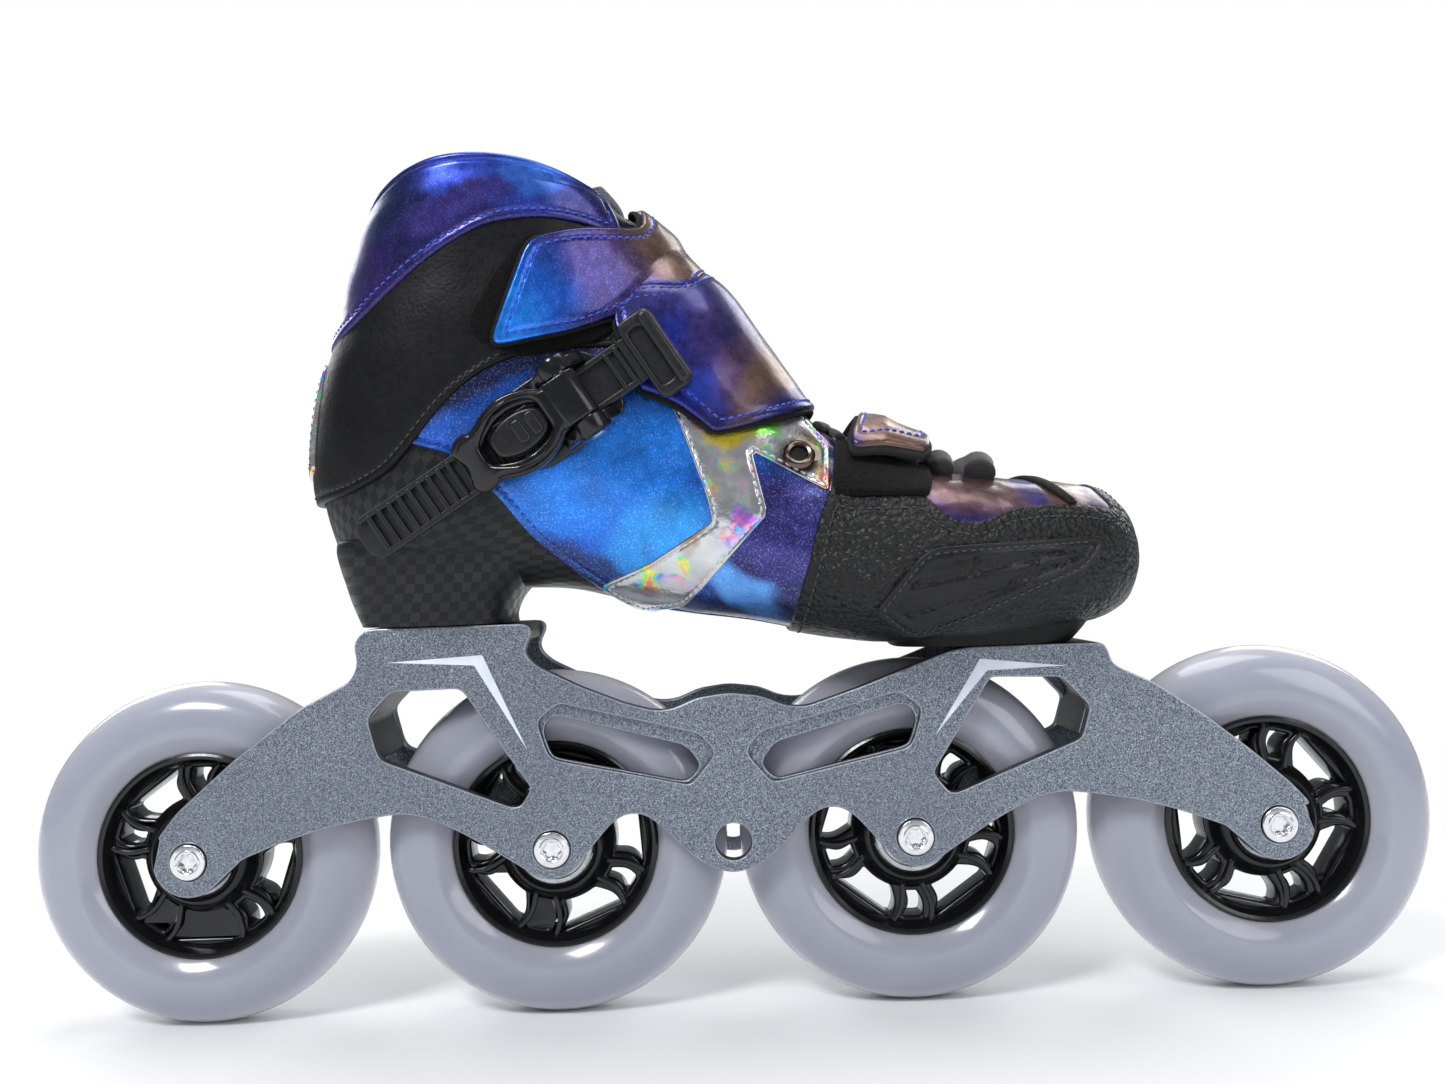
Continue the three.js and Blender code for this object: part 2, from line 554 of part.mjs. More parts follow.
const TOE_BLOCK = [
  [42, 114], [49, FRONT_DECK_Z + GAP], [101, FRONT_DECK_Z + GAP], [107, 114],
];
function toeGuard() {
  const skin = clip(layer(TOE, 8, 0, 360, 0, PANEL_T), GUARD);
  const foot = cut(slab(TOE_BLOCK, -25, 25), filled(PANEL_T / 2));
  return cut(join(skin, foot), post(TOE_BOLT_X, 0, BOLT_R + GAP, 100, 115));
}
add('toe_guard', toeGuard(), 0x17181b, 0.7);

const THROAT = 11;
const vamp = cut(
  clip(layer(1, 8, -105, 105, 0, PANEL_T), VAMP),
  block(20, 76, -THROAT, THROAT, 140, 190),
);
add('vamp', vamp, 0x5b3a6e, 0.35, 0.2);

for (const [name, side] of SIDES) {
  const body = clip(layer(6, 17, ...half(side, 10, 142), 0, PANEL_T), QUARTER);
  const y = [side * THROAT, side * WIDE].sort((a, b) => a - b);
  add(`quarter_${name}`, body.intersect(block(-WIDE * 2, WIDE * 2, ...y, 0, 300)),
    0x2a3d9e, 0.3, 0.25);
}
add('ankle_wrap', clip(layer(11, 19, 25, 335, 0, PANEL_T), WRAP), 0x141518, 0.6);
add('collar', clip(layer(16.5, RIM, 38, 322, SHELL_IN, PANEL_T + 1), COLLAR), 0x33307e, 0.4);
const tongueTop = (t) => (t > 19.5 ? PANEL_T + PLY : SHELL_OUT);   // padded above the straps
add('tongue', layer(4.2, 21, -30, 30, SHELL_IN, tongueTop), 0x3a3c42, 0.85);

for (const [name, side] of SIDES) {
  const trim = (t0, t1, p0, p1, outline) => clip(
    layer(t0, t1, ...half(side, p0, p1), TRIM_IN, TRIM_OUT), outline,
  );
  add(`chevron_${name}`, trim(6, 13, 20, 150, CHEVRON), 0xc4c9d4, 0.25, 0.6);
  add(`bumper_${name}`, trim(1, 8, 60, 140, BUMPER), 0x0f1012, 0.35);
}
add('heel_badge', layer(15.9, 17.3, 158, 202, TRIM_IN, TRIM_OUT), 0x2b2e38, 0.4);

// ---------------------------------------------------------------- straps
const ANKLE_PAD = [
  [-66.6, 195.1], [-55.1, 188.9], [-30, 193.2], [-30, 221], [-51.9, 219.6], [-62, 200.9],
];
const TOE_PAD = [[31, 149.6], [55.5, 146.8], [57.3, 151.5], [56, 160], [34, 166]];
const ANKLE_STRAP = [
  [-62, 190.6], [-28.6, 197.3], [-28.2, 202.9], [-25.4, 205.6], [-18, 207.3], [-7.7, 207],
  [0, 219], [-8, 245], [-27, 245], [-22.4, 223.4], [-39.2, 222.7], [-50.9, 219.8],
];
const INSTEP_STRAP = [
  [-28.6, 197.3], [-28.2, 202.9], [-25.4, 205.6], [-18, 207.3], [-7.7, 207], [0, 219],
  [20, 215], [38, 180], [23.5, 169.5], [11.2, 167], [0.2, 165], [-5.3, 165.8], [-13.8, 174.2],
  [-21.4, 175.6],
];
const TOE_STRAP = [
  [33.3, 155], [56.2, 150.6], [57.4, 154], [58.4, 161.6], [62.8, 160.5], [66, 185], [34, 185],
  [35.8, 169.5],
];
const STRAP_TOP = 19.3;        // row of the ankle strap's upper edge at the front
const FOLD = 13;               // angle where each strap's fixed part meets its flap
const FOLD_GAP = 2;            // degrees between them
// The toe strap stands off the boot over the lacing.
const archHeight = (t) => (t < 6 ? 6 + (t - 5) * 2.6 : 8.6 - (t - 6) * 2.2);
const archedBy = (d) => (t, phi) => d + archHeight(t) * Math.max(0, Math.cos(rad(phi * 1.5)));
const strapBlue = [0x2a45b8, 0.35];
const strapMauve = [0x6a4a66, 0.4];

const wrapped = (t0, t1, p0, p1, d0, d1, outline) => clip(layer(t0, t1, p0, p1, d0, d1), outline);
add('ankle_strap_base', wrapped(12, 19, 30, 95, TRIM_IN, TRIM_OUT, ANKLE_PAD), 0x1a1b1f, 0.9);
add('ankle_strap', wrapped(11, STRAP_TOP, -88, FOLD, STRAP_IN, STRAP_OUT, ANKLE_STRAP), ...strapBlue);
add('ankle_strap_flap', wrapped(11, STRAP_TOP, FOLD + FOLD_GAP, 90, STRAP_IN, STRAP_OUT, ANKLE_STRAP),
  ...strapBlue);
add('instep_strap', wrapped(7, 13, -75, 75, STRAP_IN, STRAP_OUT, INSTEP_STRAP), 0x1b1f3a, 0.35);
add('toe_strap_base', wrapped(4, 8, 32, 95, TRIM_IN, TRIM_OUT, TOE_PAD), 0x1a1b1f, 0.9);
const arch = [archedBy(STRAP_IN), archedBy(STRAP_OUT)];
add('toe_strap', wrapped(4, 8, -85, FOLD, ...arch, TOE_STRAP), ...strapMauve);
add('toe_strap_flap', wrapped(4, 8, FOLD + FOLD_GAP, 85, ...arch, TOE_STRAP), ...strapMauve);

// ---------------------------------------------------------------- lace and eyelets
const LACE_R = 2;
function lace() {
  const rungs = [3.9, 4.5, 5.1, 5.7, 6.3, 6.9];
  const path = [];
  rungs.forEach((t, i) => {
    const side = i % 2 ? 1 : -1;
    for (const angle of [-24, 0, 24]) path.push(onBoot(t, side * angle, PANEL_T + LACE_R + 0.9));
  });
  const curve = new THREE.CatmullRomCurve3(path, false, 'centripetal');
  const round = new THREE.Shape();
  round.absarc(0, 0, LACE_R, 0, Math.PI * 2);
  const settings = { steps: 44, curveSegments: 3, extrudePath: curve };
  return solid(new THREE.ExtrudeGeometry(round, settings));
}
add('lace', lace(), 0x0c0d10, 0.8);

// A flanged ring standing on the surface at side outline point x, z.
function eyelet(side) {
  const [t, phi] = [7.75, side < 0 ? 62 : 298];
  const foot = onBoot(t, phi, TRIM_OUT + PLY);
  const up = onBoot(t, phi, 10).sub(onBoot(t, phi, 0)).normalize();
  const profile = [[2.2, 0], [4, 0], [3.6, 1.2], [2.2, 1.2]];
  const points = [...profile, profile[0]].map(([r, h]) => new THREE.Vector2(r, h));
  const geometry = new THREE.LatheGeometry(points, 14);
  geometry.applyQuaternion(new THREE.Quaternion().setFromUnitVectors(vec(0, 1, 0), up));
  geometry.translate(foot.x, foot.y, foot.z);
  const made = solid(geometry);
  return made.volume() < 0 ? solid(flipped(geometry)) : made;
}
for (const [name, side] of SIDES) add(`eyelet_${name}`, eyelet(side), 0x3b3330, 0.3, 0.7);

// ---------------------------------------------------------------- ladder strap and buckle
// Local frame: x along the strap towards the toe, y outwards, z across the strap.
const tilt = rad(BUCKLE_TILT);
const BUCKLE_FRAME = new THREE.Matrix4().makeBasis(
  vec(Math.cos(tilt), 0, Math.sin(tilt)), vec(0, -1, 0), vec(Math.sin(tilt), 0, -Math.cos(tilt)),
).setPosition(BUCKLE_X, -LADDER_Y, BUCKLE_Z);

const PIN_R = 1.5;
const RIDGE_H = 1.2;
const LADDER_IN = 0.6;
const RIDGE_TOP = LADDER_IN + LADDER_T + RIDGE_H;
const LEVER_HUB = 3.2;
const PIN_Y = RIDGE_TOP + GAP + LEVER_HUB;
const CHANNEL = LADDER_W / 2 + PLY;        // half width between the buckle's cheeks
const CHEEK = CHANNEL + 3.4;
const CHEEK_X = 9;
const LADDER_TAIL = -69;
const LADDER_HEAD = 29;

// Local outline of [x, y] points made solid across z0 to z1.
function across(outline, z0, z1) {
  const shape = new THREE.Shape(outline.map(([x, y]) => new THREE.Vector2(x, y)));
  const geometry = new THREE.ExtrudeGeometry(shape, { depth: z1 - z0, bevelEnabled: false });
  geometry.translate(0, 0, z0);
  return solid(geometry.applyMatrix4(BUCKLE_FRAME));
}

// Local outline of [x, z] points made solid from height y0 to y1.
function raised(outline, y0, y1) {
  const shape = new THREE.Shape(outline.map(([x, z]) => new THREE.Vector2(x, z)));
  const geometry = new THREE.ExtrudeGeometry(shape, { depth: y1 - y0, bevelEnabled: false });
  geometry.rotateX(Math.PI / 2);
  geometry.translate(0, y1, 0);
  return solid(geometry.applyMatrix4(BUCKLE_FRAME));
}

function pin(x, y, r, z0, z1, segments = 16) {
  const geometry = new THREE.CylinderGeometry(r, r, z1 - z0, segments);
  geometry.rotateX(Math.PI / 2);
  geometry.translate(x, y, (z0 + z1) / 2);
  return solid(geometry.applyMatrix4(BUCKLE_FRAME));
}

function ladder() {
  const top = LADDER_IN + LADDER_T;
  const profile = [[LADDER_TAIL, LADDER_IN], [LADDER_HEAD, LADDER_IN], [LADDER_HEAD, top]];
  for (let x = 17; x > LADDER_TAIL + LADDER_PITCH; x -= LADDER_PITCH) {
    profile.push([x, top], [x - 0.5, RIDGE_TOP], [x - 1.5, RIDGE_TOP]);
  }
  profile.push([LADDER_TAIL, top]);
  const nose = LADDER_W / 2;
  const plan = [
    [LADDER_TAIL + 3, -nose], [LADDER_HEAD, -nose], [LADDER_HEAD, nose], [LADDER_TAIL + 3, nose],
    [LADDER_TAIL, nose - 3], [LADDER_TAIL, -nose + 3],
  ];
  return across(profile, -nose, nose).intersect(raised(plan, -5, 20));
}
add('ladder_strap', ladder(), 0x1a1b1e, 0.6);

function keeper() {
  const [x0, x1] = [LADDER_HEAD - 8, LADDER_HEAD + 1];
  const plan = [
    [x0, -8], [x0 + 2, -10], [x1 - 2, -10], [x1, -8], [x1, 12], [x1 - 2, 14], [x0 + 2, 14], [x0, 12],
  ];
  const slot = [
    [x0 - 5, LADDER_IN - GAP], [x1 + 5, LADDER_IN - GAP],
    [x1 + 5, RIDGE_TOP + GAP], [x0 - 5, RIDGE_TOP + GAP],
  ];
  const w = LADDER_W / 2 + GAP;
  return cut(raised(plan, LADDER_IN - 1.2, 6.4), across(slot, -w, w));
}
add('strap_keeper', keeper(), 0x17181b, 0.6);

function buckleBase() {
  const side = [
    [-CHEEK_X, -4.4], [CHEEK_X - 0.7, -4.4], [CHEEK_X - 0.7, 3], [3.2, PIN_Y + 2.4],
    [-3.2, PIN_Y + 2.4], [-CHEEK_X, 4],
  ];
  const hollow = [[-20, LADDER_IN - GAP], [20, LADDER_IN - GAP], [20, 30], [-20, 30]];
  return cut(
    across(side, -CHEEK, CHEEK),
    across(hollow, -CHANNEL, CHANNEL),
    pin(0, PIN_Y, PIN_R + GAP, -20, 20),
  );
}
add('buckle_base', buckleBase(), 0x121316, 0.3);
add('lever_pin', pin(0, PIN_Y, PIN_R, -CHEEK - 0.3, CHEEK + 0.3), 0xb4b7bd, 0.3, 0.9);

const PAWL_X = -14;            // the release pawl's own pivot
const PAWL_R = 1;
const PAWL_Y = PIN_Y + 1.6;
const BOW_X = -(CHEEK_X + 1);  // where the lever widens behind the cheeks
const TIP_X = -LEVER_L;

function leverPlan() {
  const w = LEVER_W / 2;
  return [
    [3, -CHANNEL + GAP], [3, CHANNEL - GAP], [BOW_X + 0.4, CHANNEL - GAP], [BOW_X, w - 2.5],
    [BOW_X - 3, w - 0.6], [-18, w], [-25, w - 0.8], [TIP_X + 3.5, w - 3.6], [TIP_X, w - 7],
    [TIP_X + 1.2, 0], [TIP_X, -w + 7], [TIP_X + 3.5, -w + 3.6], [-25, -w + 0.8], [-18, -w],
    [BOW_X - 3, -w + 0.6], [BOW_X, -w + 2.5], [BOW_X + 0.4, -CHANNEL + GAP],
  ];
}

function lever() {
  const side = [
    [3, PIN_Y], [2.2, PIN_Y + 2.2], [0, PIN_Y + 3], [-9, PIN_Y + 4.4], [-22, PIN_Y + 4.6],
    [TIP_X + 4, PIN_Y + 3.4], [TIP_X, PIN_Y + 1.4], [TIP_X, PIN_Y - 0.4], [-20, PIN_Y + 0.4],
    [-8, PIN_Y - 0.4], [-2.6, PIN_Y - 1.6],
  ];
  const body = across(side, -20, 20).intersect(raised(leverPlan(), -5, 30));
  const barrel = pin(0, PIN_Y, LEVER_HUB - 0.2, -CHANNEL + GAP, CHANNEL - GAP, 18);
  const well = [
    [BOW_X + 0.6, -4.6], [BOW_X + 0.6, 4.6], [-13, 6], [-22, 6], [-26, 3.4], [-26, -3.4],
    [-22, -6], [-13, -6],
  ];
  return cut(
    join(body, barrel),
    raised(well, -5, 30),
    pin(0, PIN_Y, PIN_R + RUN, -20, 20),
    pin(PAWL_X, PAWL_Y, PAWL_R + RUN, -7.6, 7.6),
  );
}
add('buckle_lever', lever(), 0x0e0f12, 0.2);

function pawl() {
  const side = [
    [PAWL_X + 3, PAWL_Y - 0.6], [PAWL_X + 3, PAWL_Y + 1], [PAWL_X, PAWL_Y + 1.8],
    [-24.6, PAWL_Y + 1.4], [-24.6, PAWL_Y], [PAWL_X - 2, PAWL_Y - 1.4],
  ];
  const plan = [[-9, -3.8], [-9, 3.8], [-13.5, 5.2], [-21.8, 5.2], [-25, 2.8], [-25, -2.8],
    [-21.8, -5.2], [-13.5, -5.2]];
  const body = across(side, -10, 10).intersect(raised(plan, -5, 30));
  return join(body, pin(PAWL_X, PAWL_Y, PAWL_R, -7.2, 7.2, 12));
}
add('buckle_pawl', pawl(), 0x3c3f45, 0.35, 0.5);

export default group;
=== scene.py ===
"""Looks of the inline skate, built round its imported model.

Helpers and shapes work in millimetres in the part's own side view: +X toe, +Z up, and Y from the
middle plane of the wheels, with the outer side of the foot at negative Y. place() turns them into
metres in the shared frame.
"""
import json
import math

import bpy
import numpy as np
from mathutils import Matrix, Vector, noise


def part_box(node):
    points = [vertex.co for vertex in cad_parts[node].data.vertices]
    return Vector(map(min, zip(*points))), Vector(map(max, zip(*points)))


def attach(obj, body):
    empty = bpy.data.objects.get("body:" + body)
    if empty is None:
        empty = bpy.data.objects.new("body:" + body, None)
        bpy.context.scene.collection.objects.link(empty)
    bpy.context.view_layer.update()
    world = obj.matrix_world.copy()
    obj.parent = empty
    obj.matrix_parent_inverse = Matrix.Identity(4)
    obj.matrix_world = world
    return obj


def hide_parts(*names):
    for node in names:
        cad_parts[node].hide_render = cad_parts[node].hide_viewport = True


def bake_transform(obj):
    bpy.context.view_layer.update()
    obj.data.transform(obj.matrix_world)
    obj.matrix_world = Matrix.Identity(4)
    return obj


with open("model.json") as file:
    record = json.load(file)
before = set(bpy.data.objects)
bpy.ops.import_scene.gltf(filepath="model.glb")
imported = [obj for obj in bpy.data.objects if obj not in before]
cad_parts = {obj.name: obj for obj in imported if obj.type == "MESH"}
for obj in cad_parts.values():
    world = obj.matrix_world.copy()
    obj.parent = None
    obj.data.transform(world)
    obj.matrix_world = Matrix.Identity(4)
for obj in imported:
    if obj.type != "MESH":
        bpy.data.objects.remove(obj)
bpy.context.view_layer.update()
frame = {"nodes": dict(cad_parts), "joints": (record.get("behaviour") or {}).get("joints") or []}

MM = 0.001
TYRE_LOW, TYRE_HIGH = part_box("tyre_1")
MIDDLE_Y = (TYRE_LOW.y + TYRE_HIGH.y) / 2 / MM
ROOT = "boot_and_frame"
scene = bpy.context.scene

WHEEL_R = (TYRE_HIGH.z - TYRE_LOW.z) / 2 / MM
WHEEL_W = (TYRE_HIGH.y - TYRE_LOW.y) / MM
AXLE_Z = WHEEL_R
AXLE_X = [sum(c.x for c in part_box(f"tyre_{n}")) / 2 / MM for n in range(1, 5)]
PLATE_OUT = (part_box("frame")[1].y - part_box("frame")[0].y) / 2 / MM
PLATE_T = 4.5
PLATE_IN = PLATE_OUT - PLATE_T


# ------------------------------------------------------------------ camera, floor and light
def make_camera():
    """The lens and place of the view: level with the sole, looking a little up, leaning two degrees."""
    yaw, pitch, roll = math.radians(-0.03), math.radians(1.35), math.radians(-2.01)
    forward = Vector((math.sin(yaw) * math.cos(pitch), math.cos(yaw) * math.cos(pitch), math.sin(pitch)))
    level = Vector((math.cos(yaw), -math.sin(yaw), 0))
    upright = level.cross(forward)
    right = level * math.cos(roll) + upright * math.sin(roll)
    up = right.cross(forward)
    data = bpy.data.cameras.new("camera")
    data.sensor_width = 36
    data.lens = 34.88
    data.clip_start = 0.02
    camera = bpy.data.objects.new("camera", data)
    turn = Matrix((right, up, -forward)).transposed().to_4x4()
    camera.matrix_world = Matrix.Translation((0, -0.4149, 0.1264)) @ turn
    scene.collection.objects.link(camera)
    scene.camera = camera


# Name, place and size in metres, power in watts. All of them face LIT_POINT.
LIGHTS = (
    ("key", (-0.7, -1.1, 1.3), (0.5, 0.4), 18), ("fill", (1.0, -1.0, 0.7), (0.7, 0.9), 6),
    ("top", (0.1, 0.1, 1.5), (1.2, 0.8), 12), ("back_left", (-0.9, 1.1, 0.8), (0.8, 0.8), 6),
    ("back_right", (0.9, 1.2, 0.9), (0.8, 0.8), 6),
)
LIT_POINT = Vector((0, 0, 0.12))


def make_lights():
    """Five soft lamps and a dim world that only the camera sees as white."""
    for name, place, size, power in LIGHTS:
        data = bpy.data.lights.new(name, "AREA")
        data.shape = "RECTANGLE"
        data.size, data.size_y = size
        data.energy = power
        lamp = bpy.data.objects.new(name, data)
        lamp.location = place
        lamp.rotation_euler = (LIT_POINT - Vector(place)).to_track_quat("-Z", "Y").to_euler()
        scene.collection.objects.link(lamp)
    world = bpy.data.worlds.new("studio")
    world.use_nodes = True
    tree = world.node_tree
    tree.nodes["Background"].inputs["Color"].default_value = (0.93, 0.95, 1, 1)
    tree.nodes["Background"].inputs["Strength"].default_value = 0.24
    seen = tree.nodes.new("ShaderNodeBackground")
    seen.inputs["Color"].default_value = (1, 1, 1, 1)
    either = tree.nodes.new("ShaderNodeMixShader")
    tree.links.new(tree.nodes.new("ShaderNodeLightPath").outputs["Is Camera Ray"], either.inputs[0])
    tree.links.new(tree.nodes["Background"].outputs[0], either.inputs[1])
    tree.links.new(seen.outputs[0], either.inputs[2])
    tree.links.new(either.outputs[0], tree.nodes["World Output"].inputs[0])
    scene.world = world
    scene.view_settings.view_transform = "Standard"


# ------------------------------------------------------------------ materials
class Paint:
    """A Principled material and short ways to wire nodes to it. Sizes are in millimetres."""

    def __init__(self, name, **sockets):
        self.material = bpy.data.materials.new(name)
        self.material.use_nodes = True
        self.tree = self.material.node_tree
        self.shader = self.tree.nodes["Principled BSDF"]
        for socket, value in sockets.items():
            self.shader.inputs[socket.replace("_", " ")].default_value = value
        self.place = self.node("ShaderNodeTexCoord").outputs["Object"]

    def node(self, kind, *values, **settings):
        """A new node with these settings. The values feed its first inputs."""
        made = self.tree.nodes.new(kind)
        for key, value in settings.items():
            setattr(made, key, value)
        for socket, value in zip(made.inputs, values):
            self.feed(socket, value)
        return made

    def feed(self, socket, value):
        if isinstance(value, bpy.types.NodeSocket):
            self.tree.links.new(value, socket)
        elif isinstance(value, (tuple, list)) and len(value) == 3 and len(socket.default_value) == 4:
            socket.default_value = (*value, 1)
        else:
            socket.default_value = value

    def math(self, operation, a, b=0.0):
        return self.node("ShaderNodeMath", a, b, operation=operation).outputs[0]

    def vector(self, operation, a, b=(0.0, 0.0, 0.0)):
        made = self.node("ShaderNodeVectorMath", a, b, operation=operation)
        return made.outputs["Value" if operation in ("LENGTH", "DOT_PRODUCT") else "Vector"]

    def noise(self, size, detail=2.0, rough=0.5, place=None, output="Fac", distortion=0.0):
        made = self.node("ShaderNodeTexNoise", place or self.place)
        values = {"Scale": 1 / (size * MM), "Detail": detail, "Roughness": rough, "Distortion": distortion}
        for name, value in values.items():
            made.inputs[name].default_value = value
        return made.outputs[output]

    def cells(self, size, place=None):
        made = self.node("ShaderNodeTexVoronoi", place or self.place)
        made.inputs["Scale"].default_value = 1 / (size * MM)
        return made.outputs["Distance"]

    def span(self, value, low, high, out_low=0.0, out_high=1.0):
        made = self.node("ShaderNodeMapRange", value, interpolation_type="SMOOTHSTEP")
        for name, number in zip(("From Min", "From Max", "To Min", "To Max"), (low, high, out_low, out_high)):
            made.inputs[name].default_value = number
        return made.outputs["Result"]

    def mix(self, factor, a, b, blend="MIX"):
        made = self.node("ShaderNodeMix", factor, data_type="RGBA", blend_type=blend)
        self.feed(made.inputs[6], a)
        self.feed(made.inputs[7], b)
        return made.outputs[2]

    def ramp(self, factor, stops):
        made = self.node("ShaderNodeValToRGB", factor)
        elements = made.color_ramp.elements
        while len(elements) < len(stops):
            elements.new(0.5)
        for element, (position, colour) in zip(elements, stops):
            element.position = position
            element.color = (*colour, 1)
        return made.outputs[0]

    def blobs(self, base, spots, wander=7.0, size=26.0):
        """Soft patches of colour placed in the side view: (x, z, half length, half height, slant, colour)."""
        drift = self.vector("SUBTRACT", self.noise(size, 2, output="Color"), (0.5, 0.5, 0.5))
        drift = self.vector("MULTIPLY", drift, (wander * MM * 2,) * 3)
        place = self.vector("ADD", self.place, drift)
        colour = base
        for x, z, rx, rz, slant, tint in spots:
            offset = self.vector("SUBTRACT", place, (x * MM, 0, z * MM))
            c, s = math.cos(math.radians(slant)), math.sin(math.radians(slant))
            along = self.vector("DOT_PRODUCT", offset, (c / (rx * MM), 0, s / (rx * MM)))
            over = self.vector("DOT_PRODUCT", offset, (-s / (rz * MM), 0, c / (rz * MM)))
            reach = self.math("ADD", self.math("MULTIPLY", along, along), self.math("MULTIPLY", over, over))
            colour = self.mix(self.span(reach, 1.0, 0.12), colour, tint)
        return colour

    def colour(self, value):
        self.feed(self.shader.inputs["Base Color"], value)

    def rough(self, value):
        self.feed(self.shader.inputs["Roughness"], value)

    def bump(self, height, depth, strength=1.0):
        made = self.node("ShaderNodeBump")
        self.feed(made.inputs["Height"], height)
        made.inputs["Distance"].default_value = depth * MM
        made.inputs["Strength"].default_value = strength
        if self.shader.inputs["Normal"].is_linked:
            self.tree.links.new(self.shader.inputs["Normal"].links[0].from_socket, made.inputs["Normal"])
        self.tree.links.new(made.outputs[0], self.shader.inputs["Normal"])


NAVY = (0.006, 0.010, 0.075)
INDIGO = (0.022, 0.018, 0.16)
AZURE = (0.002, 0.1, 0.58)
SKY_HIGHLIGHT = (0.012, 0.24, 0.95)
VIOLET = (0.04, 0.02, 0.17)
MAUVE = (0.085, 0.042, 0.11)
BRONZE = (0.17, 0.095, 0.065)


def colour_shift_leather(name, base, spots, roughness=0.3, flake_glint=0.5):
    """Metallic coated leather whose colour drifts from blue to violet and bronze, in fixed patches that mix
    its own colours with its painted sheen and highlights.
    """
    paint = Paint(name, Metallic=0.7, Coat_Weight=0.35, Coat_Roughness=0.12)
    # Painted sheen: the patches mix the leather's own colours with its shifting sheen and highlights, fixed
    # in place.
    tone = paint.blobs(base, spots)
    cloud = paint.noise(9, 3)
    tone = paint.mix(paint.span(cloud, 0.35, 0.75, 0.0, 0.35), tone, (0.0, 0.0, 0.02), "MULTIPLY")
    # Painted glints: fine flakes are lifted towards a pale blue in the base colour.
    flakes = paint.noise(0.45, 1, 0.5)
    glint_mask = paint.span(flakes, 0.5, 0.8, 0.0, flake_glint)
    paint.colour(paint.mix(glint_mask, tone, paint.mix(0.5, tone, (0.5, 0.65, 1.0)), "ADD"))
    paint.rough(paint.span(paint.noise(3, 3), 0.3, 0.7, roughness - 0.06, roughness + 0.1))
    paint.bump(paint.noise(9, 2, 0.45), 0.7, 0.35)
    paint.bump(paint.noise(0.7, 2, 0.6), 0.03, 0.4)
    return paint.material


def black_leather():
    paint = Paint("wrap_leather", Coat_Weight=0.04, Coat_Roughness=0.3, Specular_IOR_Level=0.2)
    pebbles = paint.cells(1.1)
    tone = paint.mix(paint.noise(12, 3), (0.003, 0.003, 0.004), (0.009, 0.009, 0.011))
    # Painted shade: the seams between the raised pebbles are painted darker.
    paint.colour(paint.mix(paint.span(pebbles, 0.5, 0.9, 0.0, 0.6), tone, (0.004, 0.004, 0.005)))
    paint.rough(paint.span(paint.noise(2, 3), 0.2, 0.8, 0.34, 0.52))
    paint.bump(paint.noise(9, 3), 0.4, 0.35)
    paint.bump(pebbles, -0.12, 0.5)
    return paint.material


def crinkle_guard():
    paint = Paint("guard_crinkle", Specular_IOR_Level=0.36)
    drift = paint.vector("MULTIPLY", paint.noise(1.4, 2, output="Color"), (0.0011, 0.0011, 0.0011))
    grains = paint.cells(1.7, paint.vector("ADD", paint.place, drift))
    fold = paint.noise(0.9, 3, 0.6, distortion=0.6)
    # Painted light and shade: the raised tops of the grains are painted lighter and the seams between them
    # near black.
    paint.colour(paint.mix(grains, (0.009, 0.009, 0.01), (0.002, 0.002, 0.002)))
    paint.rough(paint.span(fold, 0.3, 0.7, 0.28, 0.5))
    paint.bump(grains, -0.7, 1.0)
    paint.bump(fold, 0.25, 0.7)
    return paint.material


def loop_pile():
    paint = Paint("loop_pile", Roughness=0.95, Specular_IOR_Level=0.15)
    paint.shader.inputs["Sheen Weight"].default_value = 0.06
    fuzz = paint.noise(0.5, 4, 0.7, distortion=1.2)
    paint.colour(paint.mix(paint.span(fuzz, 0.45, 0.75), (0.002, 0.002, 0.002), (0.014, 0.014, 0.016)))
    paint.bump(fuzz, 0.5, 0.9)
    paint.bump(paint.cells(1.3), 0.3, 0.5)
    return paint.material


def smooth_rubber(name, tone=(0.005, 0.005, 0.006), roughness=0.34, grain=0.5):
    paint = Paint(name, Specular_IOR_Level=0.25)
    paint.colour(paint.mix(paint.noise(10, 3), tone, tuple(c * 2.1 for c in tone)))
    paint.rough(paint.span(paint.noise(1.2, 3), 0.25, 0.75, roughness - 0.06, roughness + 0.12))
    paint.bump(paint.noise(grain, 2), 0.03, 0.5)
    return paint.material


def moulded_plastic(name, tone, roughness, grain=0.35):
    paint = Paint(name, Specular_IOR_Level=0.45)
    # Painted highlight: sharp convex edges are painted lighter.
    edge_highlight_mask = paint.span(paint.node("ShaderNodeNewGeometry").outputs["Pointiness"], 0.5, 0.62, 0.0, 0.35)
    edge_highlighted = paint.mix(edge_highlight_mask, tone, tuple(min(1, c * 3 + 0.02) for c in tone))
    cloud = paint.span(paint.noise(14, 3), 0.4, 0.7, 0, 0.5)
    paint.colour(paint.mix(cloud, edge_highlighted, tuple(c * 1.5 for c in tone)))
    paint.rough(paint.span(paint.noise(1.5, 3), 0.25, 0.75, roughness - 0.05, roughness + 0.08))
    paint.bump(paint.noise(grain, 2), 0.012, 0.5)
    return paint.material


CHECK_SIZE = 2.7
CARBON_THREAD = 2.4


